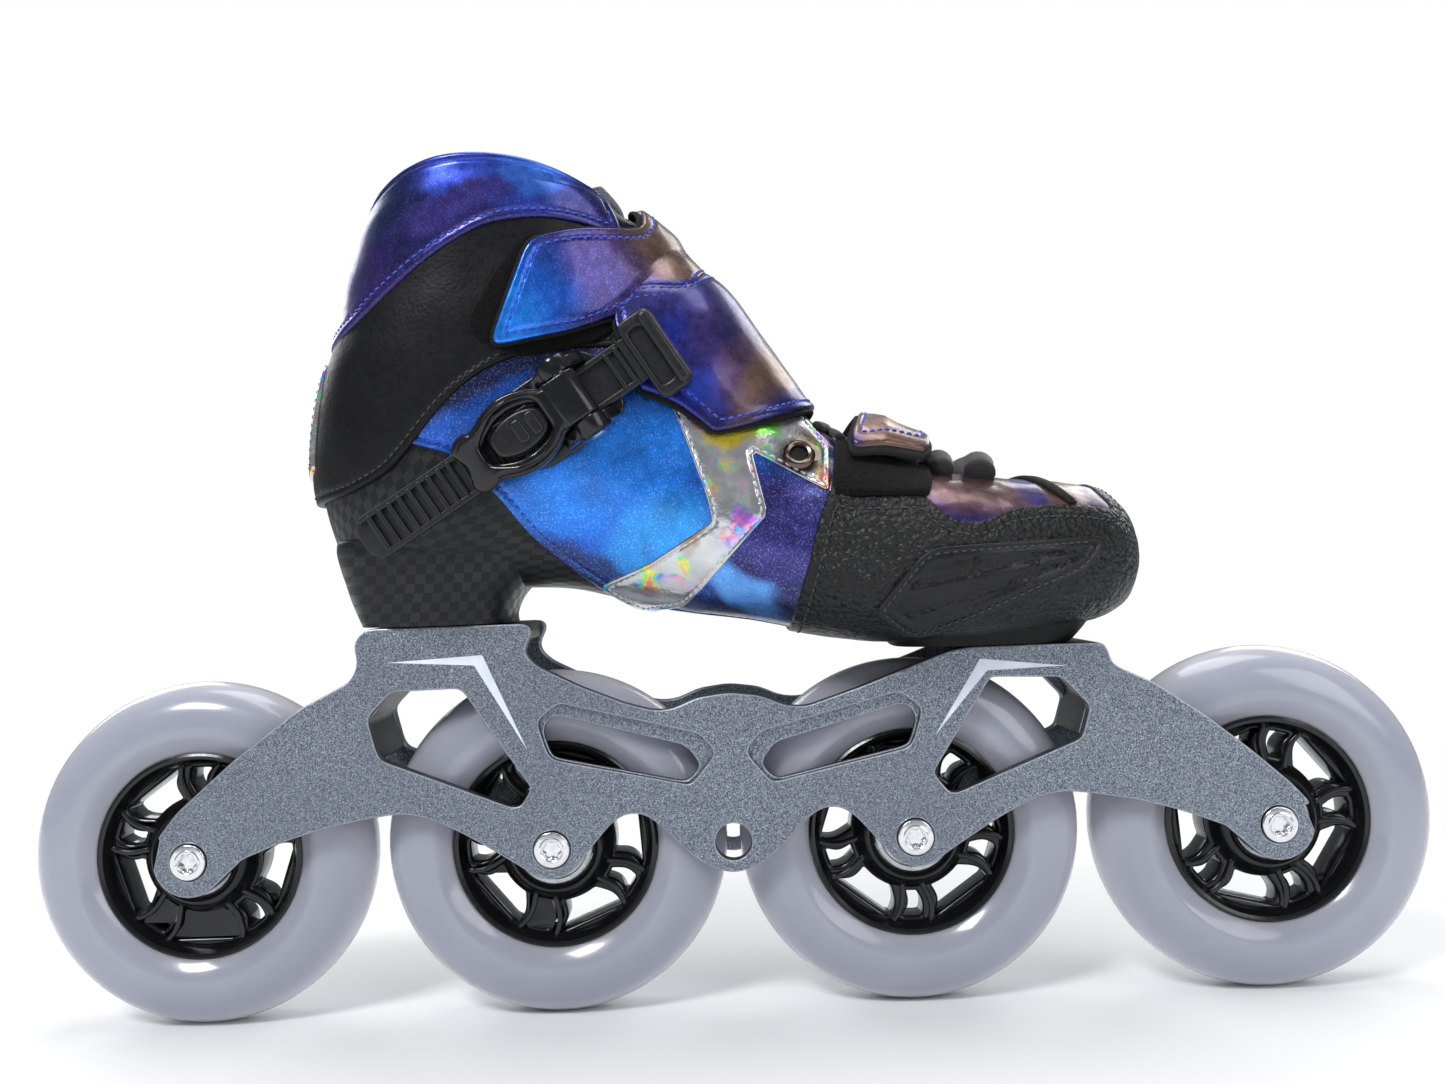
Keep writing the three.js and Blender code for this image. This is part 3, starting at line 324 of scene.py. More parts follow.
def carbon_checks():
    """Squares of woven carbon, each catching the light along or across."""
    paint = Paint("carbon_weave", Coat_Weight=0.12, Coat_Roughness=0.28, Specular_IOR_Level=0.22)
    uv = paint.node("ShaderNodeUVMap", uv_map="surface").outputs[0]
    checks = paint.node("ShaderNodeTexChecker", uv)
    checks.inputs["Scale"].default_value = 1 / (CHECK_SIZE * MM)
    checks.inputs["Color1"].default_value = (0.004, 0.004, 0.004, 1)
    checks.inputs["Color2"].default_value = (0.022, 0.022, 0.024, 1)
    threads = paint.node("ShaderNodeTexWave", uv, bands_direction="X")
    threads.inputs["Scale"].default_value = 1 / (CARBON_THREAD * MM)
    # Painted highlight: light streaks along the threads.
    thread_highlights = paint.math("MULTIPLY", threads.outputs["Fac"], 0.35)
    shade = paint.mix(thread_highlights, checks.outputs["Color"], (0.025, 0.025, 0.028))
    paint.colour(paint.mix(paint.span(paint.noise(18, 3), 0.35, 0.7, 0, 0.6), shade, (0.005, 0.005, 0.006)))
    paint.rough(paint.span(checks.outputs["Fac"], 0, 1, 0.34, 0.5))
    paint.bump(checks.outputs["Fac"], 0.05, 0.35)
    return paint.material


def holographic_foil():
    """Silver foil with patches of rainbow, smooth but slightly crumpled."""
    paint = Paint("holographic_foil", Metallic=0.85, Coat_Weight=0.4, Coat_Roughness=0.08)
    drift = paint.vector("MULTIPLY", paint.noise(16, 3, 0.6, output="Color"), (0.022, 0.022, 0.03))
    bands = paint.noise(13, 2, 0.5, place=paint.vector("ADD", paint.place, drift))
    rainbow = paint.ramp(paint.span(bands, 0.3, 0.7), [
        (0.0, (0.9, 0.12, 0.5)), (0.16, (0.95, 0.3, 0.05)), (0.3, (0.9, 0.85, 0.05)),
        (0.44, (0.1, 0.85, 0.15)), (0.58, (0.05, 0.75, 0.9)), (0.72, (0.1, 0.2, 0.9)),
        (0.86, (0.7, 0.15, 0.9)), (1.0, (0.95, 0.4, 0.3))])
    silver = paint.mix(paint.noise(8, 3), (0.34, 0.35, 0.38), (0.82, 0.84, 0.88))
    patch = paint.span(paint.noise(10, 3, 0.6), 0.5, 0.66, 0.03, 0.85)
    tone = paint.mix(patch, silver, rainbow)
    tone = paint.blobs(tone, [(3, 166, 10, 7, 10, (0.95, 0.75, 0.05)), (12, 168, 7, 4, 0, (0.25, 0.85, 0.1)),
                              (-4, 170, 5, 4, 0, (0.9, 0.25, 0.08)), (22, 160, 9, 8, 0, (0.1, 0.07, 0.045)),
                              (-9, 140, 6, 8, 0, (0.32, 0.2, 0.12))], 5, 9)
    paint.colour(tone)
    paint.rough(paint.span(paint.noise(5, 3), 0.3, 0.7, 0.14, 0.3))
    paint.bump(paint.noise(6, 3, 0.55), 0.7, 0.5)
    return paint.material


def sparkling_anodised():
    """Bead-blasted anodised aluminium: grey-blue with fine grains and painted glints, bright painted
    highlights on the rounded edges, and walls square to the sides painted near black, partly as painted
    shade.
    """
    paint = Paint("frame_anodised", Metallic=0.78)
    grains = paint.noise(0.42, 2, 0.8)
    fine = paint.span(grains, 0.36, 0.66)
    tone = paint.mix(fine, (0.07, 0.082, 0.105), (0.34, 0.38, 0.45))
    # Painted glints: sparse bright specks over the grain.
    glints = paint.span(paint.noise(0.3, 1, 0.5), 0.62, 0.72, 0, 0.85)
    tone = paint.mix(glints, tone, (0.75, 0.85, 0.95))
    tone = paint.mix(paint.span(paint.noise(60, 2), 0.35, 0.7, 0, 0.3), tone, (0.15, 0.17, 0.21))
    # By facing: walls square to the sides go near black, partly painted shade in the windows and holes; the
    # rounded edges between them get a bright painted highlight; the sides keep the grain.
    facing = paint.vector("DOT_PRODUCT", paint.node("ShaderNodeNewGeometry").outputs["Normal"], (0, 1, 0))
    facing = paint.math("ABSOLUTE", facing)
    bevel = paint.mix(paint.span(facing, 0.25, 0.55), (0.008, 0.009, 0.011), (0.62, 0.67, 0.74))
    paint.colour(paint.mix(paint.span(facing, 0.84, 0.97), bevel, tone))
    paint.rough(paint.span(grains, 0.3, 0.7, 0.34, 0.56))
    paint.bump(grains, 0.05, 0.6)
    return paint.material


def milky_urethane():
    paint = Paint("tyre_urethane", Subsurface_Weight=0.7, Coat_Weight=0.3, Coat_Roughness=0.05)
    paint.shader.inputs["Subsurface Radius"].default_value = (1.0, 1.05, 1.2)
    paint.shader.inputs["Subsurface Scale"].default_value = 0.012
    paint.shader.inputs["IOR"].default_value = 1.48
    # Painted light and shade: the middle of the tread is painted lighter and the side faces darker.
    from_middle = paint.vector("SUBTRACT", paint.place, (0, MIDDLE_Y * MM, 0))
    across = paint.vector("DOT_PRODUCT", from_middle, (0, 1, 0))
    side = paint.span(paint.math("ABSOLUTE", across), 0.003, 0.0115)
    shaded_side_tone = paint.mix(paint.noise(30, 2), (0.3, 0.315, 0.385), (0.38, 0.39, 0.46))
    paint.colour(paint.mix(side, (0.52, 0.52, 0.58), shaded_side_tone))
    paint.rough(paint.span(paint.noise(9, 3), 0.3, 0.7, 0.12, 0.24))
    paint.bump(paint.noise(5, 2), 0.03, 0.3)
    return paint.material


def turned_metal(name, tone, roughness=0.24):
    paint = Paint(name, Metallic=1.0)
    scratches = paint.noise(2.2, 4, 0.7, place=paint.vector("MULTIPLY", paint.place, (1, 9, 1)))
    paint.colour(paint.mix(scratches, tone, tuple(c * 0.72 for c in tone)))
    paint.rough(paint.span(scratches, 0.3, 0.7, roughness - 0.07, roughness + 0.12))
    paint.bump(scratches, 0.02, 0.4)
    return paint.material


def woven_cloth(name, tone, thread=0.9, roughness=0.9):
    """Plain textile with a fine over and under of threads."""
    paint = Paint(name)
    paint.shader.inputs["Sheen Weight"].default_value = 0.2
    waves = []
    for direction in ("X", "Z"):
        wave = paint.node("ShaderNodeTexWave", paint.place, bands_direction=direction)
        wave.inputs["Scale"].default_value = 1000 / thread / 3.2
        wave.inputs["Distortion"].default_value = 0.6
        waves.append(wave.outputs["Fac"])
    weave = paint.math("MULTIPLY", *waves)
    dark = tuple(c * 0.45 for c in tone)
    paint.colour(paint.mix(paint.span(weave, 0.05, 0.6), dark, paint.mix(paint.noise(20, 3), tone, dark)))
    paint.rough(paint.span(paint.noise(2, 2), 0.3, 0.7, roughness - 0.08, min(1, roughness + 0.06)))
    paint.bump(weave, 0.2, 0.7)
    return paint.material


def thread(name, tone):
    """Sewing thread with a twist."""
    paint = Paint(name)
    twist = paint.noise(0.35, 2)
    paint.colour(paint.mix(twist, tuple(c * 0.55 for c in tone), tone))
    paint.rough(paint.span(twist, 0.3, 0.7, 0.45, 0.7))
    paint.bump(twist, 0.05, 0.6)
    return paint.material


def make_materials():
    return {
        # Patches are (x, z, half length, half height, slant, colour): the leathers' own colours with painted
        # sheen; the brightest blue ones are painted highlights.
        "quarter": colour_shift_leather("quarter_leather", NAVY, [
            (-20, 150, 48, 40, 25, AZURE), (-30, 158, 40, 22, 20, SKY_HIGHLIGHT), (-64, 172, 26, 9, 30, AZURE),
            (-18, 136, 22, 14, 30, (0.02, 0.3, 0.85)), (14, 128, 20, 22, 40, INDIGO),
            (16, 140, 14, 26, 60, (0.04, 0.03, 0.22)), (6, 122, 22, 6, -35, (0.12, 0.4, 1.0)),
            (23, 116, 14, 9, 0, (0.02, 0.02, 0.11)), (-38, 128, 30, 7, -38, (0.01, 0.04, 0.2)),
        ], flake_glint=0.5),
        "collar": colour_shift_leather("collar_leather", INDIGO, [
            (-62, 236, 30, 9, -5, (0.02, 0.05, 0.42)), (-48, 238, 16, 6, 0, (0.03, 0.14, 0.62)),
            (-92, 228, 20, 12, 40, (0.01, 0.02, 0.14)), (-100, 212, 16, 22, 60, VIOLET),
            (-72, 229, 22, 5, 20, (0.05, 0.035, 0.26)),
        ], flake_glint=0.2),
        "ankle": colour_shift_leather("ankle_strap_leather", INDIGO, [
            (-56, 202, 26, 22, 40, AZURE), (-57, 198, 14, 14, 50, SKY_HIGHLIGHT), (-30, 212, 13, 16, 20, VIOLET),
            (-16, 220, 14, 22, 50, MAUVE), (-8, 216, 12, 26, 50, BRONZE),
        ], flake_glint=0.25),
        "instep": colour_shift_leather("instep_strap_leather", INDIGO, [
            (-12, 184, 16, 18, -40, (0.008, 0.02, 0.3)), (-4, 178, 9, 5, -30, (0.02, 0.07, 0.6)),
            (4, 196, 12, 24, -42, (0.03, 0.016, 0.13)), (14, 192, 9, 30, -44, MAUVE),
            (23, 190, 9, 34, -44, BRONZE),
        ], flake_glint=0.12),
        "toe": colour_shift_leather("toe_strap_leather", MAUVE, [
            (36, 158, 5, 16, 10, (0.06, 0.035, 0.12)), (50, 163, 13, 12, 0, BRONZE),
            (46, 170, 14, 7, 0, (0.42, 0.27, 0.22)),
        ], flake_glint=0.1),
        "vamp": colour_shift_leather("vamp_leather", MAUVE, [
            (68, 148, 22, 7, -8, (0.15, 0.075, 0.075)), (88, 148, 12, 5, -20, VIOLET),
            (64, 138, 16, 4, 0, (0.03, 0.02, 0.16)), (97, 148, 9, 7, -30, BRONZE),
        ], flake_glint=0.12),
        "wrap": black_leather(),
        "guard": crinkle_guard(),
        "pile": loop_pile(),
        "bumper": smooth_rubber("bumper_rubber", (0.008, 0.008, 0.01), 0.28),
        "sole": smooth_rubber("sole_rubber", (0.004, 0.004, 0.004), 0.6),
        "backing": smooth_rubber("strap_backing", (0.004, 0.004, 0.004), 0.7, 0.8),
        "carbon": carbon_checks(),
        "foil": holographic_foil(),
        "frame": sparkling_anodised(),
        "tyre": milky_urethane(),
        "hub": moulded_plastic("hub_plastic", (0.006, 0.006, 0.007), 0.16),
        "buckle": moulded_plastic("buckle_plastic", (0.006, 0.006, 0.007), 0.17),
        "ladder": moulded_plastic("ladder_plastic", (0.007, 0.007, 0.008), 0.36),
        "pawl": moulded_plastic("pawl_plastic", (0.009, 0.009, 0.01), 0.28),
        "steel": turned_metal("bearing_steel", (0.5, 0.52, 0.55)),
        "silver": turned_metal("axle_metal", (0.86, 0.87, 0.9), 0.16),
        "bolt": turned_metal("bolt_metal", (0.07, 0.07, 0.075), 0.35),
        "bronze": turned_metal("eyelet_metal", (0.16, 0.12, 0.1), 0.2),
        "mark": smooth_rubber("pale_mark", (0.5, 0.53, 0.6), 0.4),
        "lining": woven_cloth("lining_cloth", (0.34, 0.35, 0.37)),
        "tongue": woven_cloth("tongue_cloth", (0.22, 0.25, 0.3)),
        "footbed": woven_cloth("footbed_cloth", (0.03, 0.03, 0.034)),
        "lace": woven_cloth("lace_weave", (0.02, 0.02, 0.023), 0.7, 0.8),
        "blue_thread": thread("blue_thread", (0.06, 0.12, 0.75)),
        "white_thread": thread("white_thread", (0.75, 0.76, 0.78)),
        "black_thread": thread("black_thread", (0.05, 0.05, 0.055)),
    }


# ------------------------------------------------------------------ mesh helpers
def place(points):
    """Side view millimetres to metres in the shared frame."""
    return (np.asarray(points, float) + (0, MIDDLE_Y, 0)) * MM


def make_mesh(name, points, faces, angle=40):
    """A smooth-shaded mesh with sharp edges above an angle in degrees."""
    mesh = bpy.data.meshes.new(name)
    mesh.from_pydata(place(points).tolist(), [], [list(map(int, f)) for f in faces])
    mesh.validate()
    mesh.polygons.foreach_set("use_smooth", [True] * len(mesh.polygons))
    mesh.set_sharp_from_angle(angle=math.radians(angle))
    piece = bpy.data.objects.new(name, mesh)
    scene.collection.objects.link(piece)
    return piece


def finish_piece(piece, material, slot, body=ROOT, nodes=()):
    piece.data.materials.append(M[material])
    if body:
        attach(piece, body)
    if nodes:
        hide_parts(*nodes)
    return piece


def paint_node(node, material):
    """The node keeps its CAD shape and takes a material."""
    materials = frame["nodes"][node].data.materials
    materials.clear()
    materials.append(M[material])


def joined(*parts):
    """Several (points, faces) pairs as one."""
    points, faces, base = [], [], 0
    for p, f in parts:
        points.append(np.asarray(p, float))
        faces.extend([[i + base for i in face] for face in f])
        base += len(p)
    return np.vstack(points), faces


def rounded(outline, reach=4.0, steps=4):
    """The outline with each corner turned into a short curve that starts up to reach before it."""
    points = [np.array(p, float) for p in outline]
    made = []
    for i, corner in enumerate(points):
        before, after = points[i - 1], points[(i + 1) % len(points)]
        a, b = np.linalg.norm(before - corner), np.linalg.norm(after - corner)
        start = corner + (before - corner) * min(reach, a * 0.48) / a
        end = corner + (after - corner) * min(reach, b * 0.48) / b
        for k in range(steps + 1):
            u = k / steps
            made.append((1 - u) ** 2 * start + 2 * u * (1 - u) * corner + u * u * end)
    return made


def circle(x, z, r, count=48, tall=None):
    """A circle, or an ellipse with another half height."""
    turns = np.linspace(0, 2 * math.pi, count, False)
    return [(x + r * math.cos(a), z + (tall or r) * math.sin(a)) for a in turns]


def doubled(half):
    """An outline from its upper half and the same half mirrored below."""
    return half + [(x, -z) for x, z in reversed(half)]


def ring_faces(rings, count, base=0):
    """Quads between rings of points that follow each other, and a face over each end."""
    faces = []
    for i in range(rings - 1):
        for k in range(count):
            a, b = base + i * count + k, base + i * count + (k + 1) % count
            faces.append([a, b, b + count, a + count])
    last = base + (rings - 1) * count
    return faces + [list(range(base, base + count))[::-1], list(range(last, last + count))]


def spline(a, b, c, d, u):
    """A point between b and c on the curve through a, b, c and d."""
    return 0.5 * (2 * b + (c - a) * u + (2 * a - 5 * b + 4 * c - d) * u ** 2
                  + (3 * b - a - 3 * c + d) * u ** 3)


def signed_area(outline):
    p = np.array(outline)
    q = np.roll(p, -1, 0)
    return float(np.sum(p[:, 0] * q[:, 1] - q[:, 0] * p[:, 1]) / 2)


def plate(outline, holes, y0, y1, bevel=0.4, steps=2):
    """A side outline with holes, filled from y0 to y1, with rounded edges."""
    curve = bpy.data.curves.new("plate", "CURVE")
    curve.dimensions = "2D"
    curve.fill_mode = "BOTH"
    curve.extrude = abs(y1 - y0) / 2 - bevel
    curve.bevel_depth = bevel
    curve.bevel_resolution = steps
    curve.offset = -bevel
    for k, ring in enumerate([outline, *holes]):
        ring = list(ring)
        if (signed_area(ring) < 0) == (k == 0):
            ring.reverse()
        line = curve.splines.new("POLY")
        line.points.add(len(ring) - 1)
        for point, (x, z) in zip(line.points, ring):
            point.co = (x, z, 0, 1)
        line.use_cyclic_u = True
    holder = bpy.data.objects.new("plate", curve)
    scene.collection.objects.link(holder)
    mesh = bpy.data.meshes.new_from_object(holder.evaluated_get(bpy.context.evaluated_depsgraph_get()))
    points = np.empty(len(mesh.vertices) * 3)
    mesh.vertices.foreach_get("co", points)
    points = points.reshape(-1, 3)
    keys, index = np.unique(np.round(points, 3), axis=0, return_inverse=True)
    faces = []
    for polygon in mesh.polygons:
        ring = [int(index.ravel()[v]) for v in polygon.vertices]
        ring = [v for i, v in enumerate(ring) if v != ring[i - 1]]
        if len(ring) > 2:
            faces.append(ring)
    bpy.data.objects.remove(holder)
    bpy.data.curves.remove(curve)
    bpy.data.meshes.remove(mesh)
    middle = (y0 + y1) / 2
    return np.column_stack((keys[:, 0], middle - keys[:, 2], keys[:, 1])), faces


def lathe(profile, x, z, count=64, closed=True):
    """A ring turned about the Y line through x, z from (radius, y) points."""
    n = len(profile)
    points = []
    for k in range(count):
        a = 2 * math.pi * k / count
        points.extend((x + r * math.cos(a), y, z + r * math.sin(a)) for r, y in profile)
    faces = []
    for k in range(count):
        for i in range(n if closed else n - 1):
            a, b = k * n + i, k * n + (i + 1) % n
            c, d = ((k + 1) % count) * n + (i + 1) % n, ((k + 1) % count) * n + i
            faces.append([a, b, c, d])
    if not closed:
        faces.append([k * n for k in range(count)])
        faces.append([k * n + n - 1 for k in range(count)][::-1])
    if signed_area(profile) > 0:
        faces = [f[::-1] for f in faces]
    return np.array(points), faces


M = make_materials()


# ------------------------------------------------------------------ wheels
CORE_R = 30.0
RIM_IN = 26.6
BARREL_R = 15.0
HUB_TURNS = (18, 40, 53, 4)
SPOKES = 5
SPOKE_STEP = 360 / SPOKES
CROWN_R = 14.5


def spoke_window(r0, r1, middle, half0, half1, sweep, steps=10):
    """An opening between two radii whose sides bow as the spokes beside it do."""
    points = []
    for side in (-1, 1):
        for i in range(steps + 1):
            f = i / steps if side < 0 else 1 - i / steps
            r = r0 + (r1 - r0) * f
            half = half0 + (half1 - half0) * f
            angle = math.radians(middle + side * half + sweep * math.sin(math.pi * f))
            points.append((r * math.cos(angle), r * math.sin(angle)))
    arc = []
    for i in range(1, 6):
        angle = math.radians(middle - half0 + 2 * half0 * (1 - i / 6))
        arc.append((r0 * math.cos(angle), r0 * math.sin(angle)))
    return points + arc


RIB_HALF = 0.8


def make_tyre(x):
    half = WHEEL_W / 2
    side = [(CORE_R - 0.1, half * 0.74), (CORE_R + 0.6, half * 0.8), (CORE_R + 4, half * 0.95)]
    crown = []
    for k in range(19):
        a = math.pi * k / 18 - math.pi / 2
        bulge = math.copysign(abs(math.sin(a)) ** 0.9, math.sin(a))
        crown.append((WHEEL_R - CROWN_R + CROWN_R * abs(math.cos(a)) ** 0.82, -half * bulge))
    profile = side + crown + [(r, -y) for r, y in reversed(side)]
    return lathe(profile, x, AXLE_Z, 120)


def make_hub(x, turn):
    rim = lathe([(CORE_R - 0.2, -9.2), (CORE_R - 0.2, 9.2), (CORE_R - 0.9, 9.6), (CORE_R - 1.8, 9.3),
                 (RIM_IN + 0.9, 7.8), (RIM_IN, 6.2), (RIM_IN - 0.6, 0), (RIM_IN, -6.2), (RIM_IN + 0.9, -7.8),
                 (CORE_R - 1.8, -9.3), (CORE_R - 0.9, -9.6)], x, AXLE_Z, 96)
    barrel = lathe([(11.3, -11.2), (11.3, 11.2), (12.6, 11.9), (BARREL_R - 1.4, 11.4), (BARREL_R - 0.2, 9),
                    (BARREL_R + 1.2, 6), (BARREL_R + 2.2, 5.4), (BARREL_R + 2.2, -5.4), (BARREL_R + 1.2, -6),
                    (BARREL_R - 0.2, -9), (BARREL_R - 1.4, -11.4), (12.6, -11.9)], x, AXLE_Z, 72)
    holes = []
    for i in range(SPOKES):
        a = turn + i * SPOKE_STEP
        for window in (spoke_window(BARREL_R + 2.4, RIM_IN - 0.3, a + SPOKE_STEP / 2, 16, 22, 4),
                       spoke_window(BARREL_R + 3, RIM_IN - 1.2, a, 4.5, 6.4, 3)):
            holes.append(rounded(window, 1.2, 2))
    holes = [[(x + u, AXLE_Z + v) for u, v in hole] for hole in holes]
    holes.append(circle(x, AXLE_Z, BARREL_R - 0.5, 60))
    web = plate(circle(x, AXLE_Z, RIM_IN + 0.6, 96), holes, -5.6, 5.6, 1.1)
    ribs = []
    for i in range(SPOKES):
        for side in (-1, 1):
            base = turn + i * SPOKE_STEP + side * 10.4
            path = []
            for k in range(9):
                f = k / 8
                r = BARREL_R + 0.5 + (RIM_IN - BARREL_R) * f
                angle = math.radians(base + side * 1.5 * f + 3.6 * math.sin(math.pi * f))
                path.append((x + r * math.cos(angle), AXLE_Z + r * math.sin(angle)))
            left, right = [], []
            for k, point in enumerate(path):
                a, b = path[max(0, k - 1)], path[min(8, k + 1)]
                d = math.hypot(b[0] - a[0], b[1] - a[1])
                nx, nz = -(b[1] - a[1]) / d, (b[0] - a[0]) / d
                for row, reach in ((left, RIB_HALF), (right, -RIB_HALF)):
                    row.append((point[0] + nx * reach, point[1] + nz * reach))
            ribs.append(plate(left + right[::-1], [], -6.9, 6.9, 0.5))
    return joined(rim, barrel, web, *ribs)


def make_bearing(x, side):
    y0, y1 = 5.15, 12.15
    outer = [(11, y0), (11, y1 - 0.3), (10.7, y1), (9.6, y1), (9.4, y1 - 0.35), (9.4, y0)]
    shield = [(9.35, y0 + 0.4), (9.35, y1 - 0.5), (6.1, y1 - 0.35), (6.1, y0 + 0.4)]
    inner = [(6.0, y0), (6.0, y1 - 0.3), (5.7, y1), (4.2, y1), (4.1, y1 - 0.3), (4.1, y0)]
    return joined(*(lathe([(r, side * y) for r, y in profile], x, AXLE_Z, 56)
                    for profile in (outer, shield, inner)))


HEAD_R = 5.1
HEAD_FACE = -PLATE_OUT - 0.8


def make_axle(x):
    """A bright head with a star socket, and the shaft through to the far plate."""
    star = []
    for k in range(48):
        a = 2 * math.pi * k / 48
        r = 2.3 + 0.32 * math.cos(6 * a)
        star.append((x + r * math.cos(a), AXLE_Z + r * math.sin(a)))
    head = plate(circle(x, AXLE_Z, HEAD_R, 64), [star], HEAD_FACE, HEAD_FACE + 2.2, 0.45, 3)
    step = [(3.1, -0.12), (3.3, -0.24), (3.6, -0.12), (3.5, 0.3), (3.2, 0.3)]
    near = [(0.01, 1.5), (2.9, 1.5), (2.9, 2.1), (4, 2.1)]
    far = [(4, 0.1), (3.7, 0.4), (2.4, 0.4), (2.2, -0.6), (0.01, -0.6)]
    shaft = [(r, HEAD_FACE + y) for r, y in near] + [(r, PLATE_OUT + y) for r, y in far]
    return joined(head, lathe([(r, HEAD_FACE + y) for r, y in step], x, AXLE_Z, 56),
                  lathe(shaft, x, AXLE_Z, 56, closed=False))


def build_wheels():
    for n, x in enumerate(AXLE_X, 1):
        body = f"wheel_{n}"
        for node, word, solid, material, slot, rides in (
                (f"tyre_{n}", "skin", make_tyre(x), "tyre", "urethane", body),
                (f"hub_{n}", "moulding", make_hub(x, HUB_TURNS[n - 1]), "hub", "hub_black", body),
                (f"bearing_out_{n}", "races", make_bearing(x, -1), "steel", "bearing_steel", body),
                (f"bearing_in_{n}", "races", make_bearing(x, 1), "steel", "bearing_steel", body),
                (f"axle_{n}", "bolt", make_axle(x), "silver", "axle_silver", ROOT)):
            finish_piece(make_mesh(f"{node}_{word}", *solid), material, slot, rides, [node])
        paint_node(f"spacer_{n}", "silver")


# ------------------------------------------------------------------ frame
PLATE_TOP = [
    (-165.3, 52.2), (-164.7, 56.2), (-158.5, 64), (-142, 78.2), (-122.7, 92.3), (-107.7, 99.8),
    (-105.6, 104.4), (-106.7, 110.5), (-103.2, 114.5), (-56.7, 114.5), (-55.4, 112.1), (-57.8, 107.5),
    (-57, 104.8), (-54, 102), (-42, 95.9), (-29.9, 90.9), (-21.6, 88.5), (-16.2, 88.7), (-9.2, 91.7),
    (0, 92.9), (9.2, 91.7), (16.3, 88.6), (22, 88.2), (37.7, 93.2), (49.4, 97.5), (63.5, 102.7),
    (70, 103.5), (107.3, 103.5), (108.7, 101.1), (109.4, 98.3), (110.9, 96.6), (121.5, 91.5),
    (135.6, 81.8), (148.3, 71.5), (159.7, 61.3), (165.1, 55.2), (165.3, 52.2),
]
PLATE_FOOT = [
    (152.3, 42.8), (142.1, 49.4), (127.8, 54.9), (114.8, 58.5), (101.8, 60.8), (93.9, 61.6), (85.9, 59.9),
    (75.2, 54.4), (67.1, 49.4), (60.3, 45.1), (57.6, 43), (54.6, 41.8), (51.8, 41.5), (48.9, 42),
    (46.3, 43.6), (42.1, 48.3), (34.5, 57.1), (30, 59.6), (24.7, 59), (19.9, 55), (10.4, 45.5),
]
REAR_WINDOW = [
    (-96.2, 96.3), (-77.1, 96.6), (-75.3, 95.1), (-64.7, 78.8), (-57.7, 68.6), (-57.4, 67.1), (-60.2, 62.6),
    (-62.9, 62.4), (-99.5, 76.9), (-100.9, 79.3), (-103.1, 88.1), (-102.5, 90),
]
FRONT_WINDOW = [
    (75.9, 94.7), (95.1, 94), (102.9, 85.4), (100.5, 77.3), (99.3, 76.1), (64.4, 62.3), (61.9, 62.4),
    (58, 67.4), (58.1, 69), (74.6, 94.2),
]
SLOT_POCKET = [
    (-48.6, 91.5), (-8.8, 81.4), (-4.8, 76.7), (-5.3, 74.4), (-11.6, 67), (-50.3, 75.4), (-52.1, 77.2),
    (-54.7, 85.3), (-54.1, 87.2),
]
SLOT = [
    (-50.6, 88.2), (-12.8, 78.1), (-8.4, 72.2), (-12.6, 67.6), (-50.0, 75.8), (-51.6, 77.4), (-53.7, 84.2),
]
REAR_DECK = [(-103.2, 109.5), (-57.2, 109.5), (-57, 114.4), (-103, 114.4)]
FRONT_DECK = [(71, 98.5), (107, 98.5), (107, 103.4), (70.6, 103.4)]
FRONT_WEB_TOP = 101
WEB = [(-99.9, 76.6), (-103.5, 88.1), (-96.6, 96.5), (-96.2, 112), (-104, 112), (-107.5, 90), (-104, 77)]
MARKS = [
    [(-97.1, 104.7), (-69.9, 106), (-57.8, 78.4), (-72.3, 103.1)],
    [(96.4, 97.2), (72, 100), (58.5, 78.8), (73.9, 96.6)],
]
POCKET_DEPTH = 2.0
CENTRE_HOLE_R = 5.2
END_BOSS_R = 10.2


def mirror(outline):
    return [(-x, z) for x, z in outline][::-1]


def end_boss(x):
    """The round end of the plate about the rear axle, as points from its lower front to its rear."""
    turns = np.radians(np.linspace(-46, -168, 9))
    return [(x + END_BOSS_R * math.cos(a), AXLE_Z + END_BOSS_R * math.sin(a)) for a in turns]


def plate_outline():
    front = [(AXLE_X[3] - (x - AXLE_X[0]), z) for x, z in end_boss(AXLE_X[0])][::-1]
    foot = PLATE_FOOT[1:] + [(4.6, 42.6), (0, 41.6), (-4.6, 42.6)] + mirror(PLATE_FOOT[1:])
    top = PLATE_TOP[1:-1]
    return rounded(top, 2.4, 3)[1:] + front + rounded(foot, 3.5, 3)[2:-2] + end_boss(AXLE_X[0])


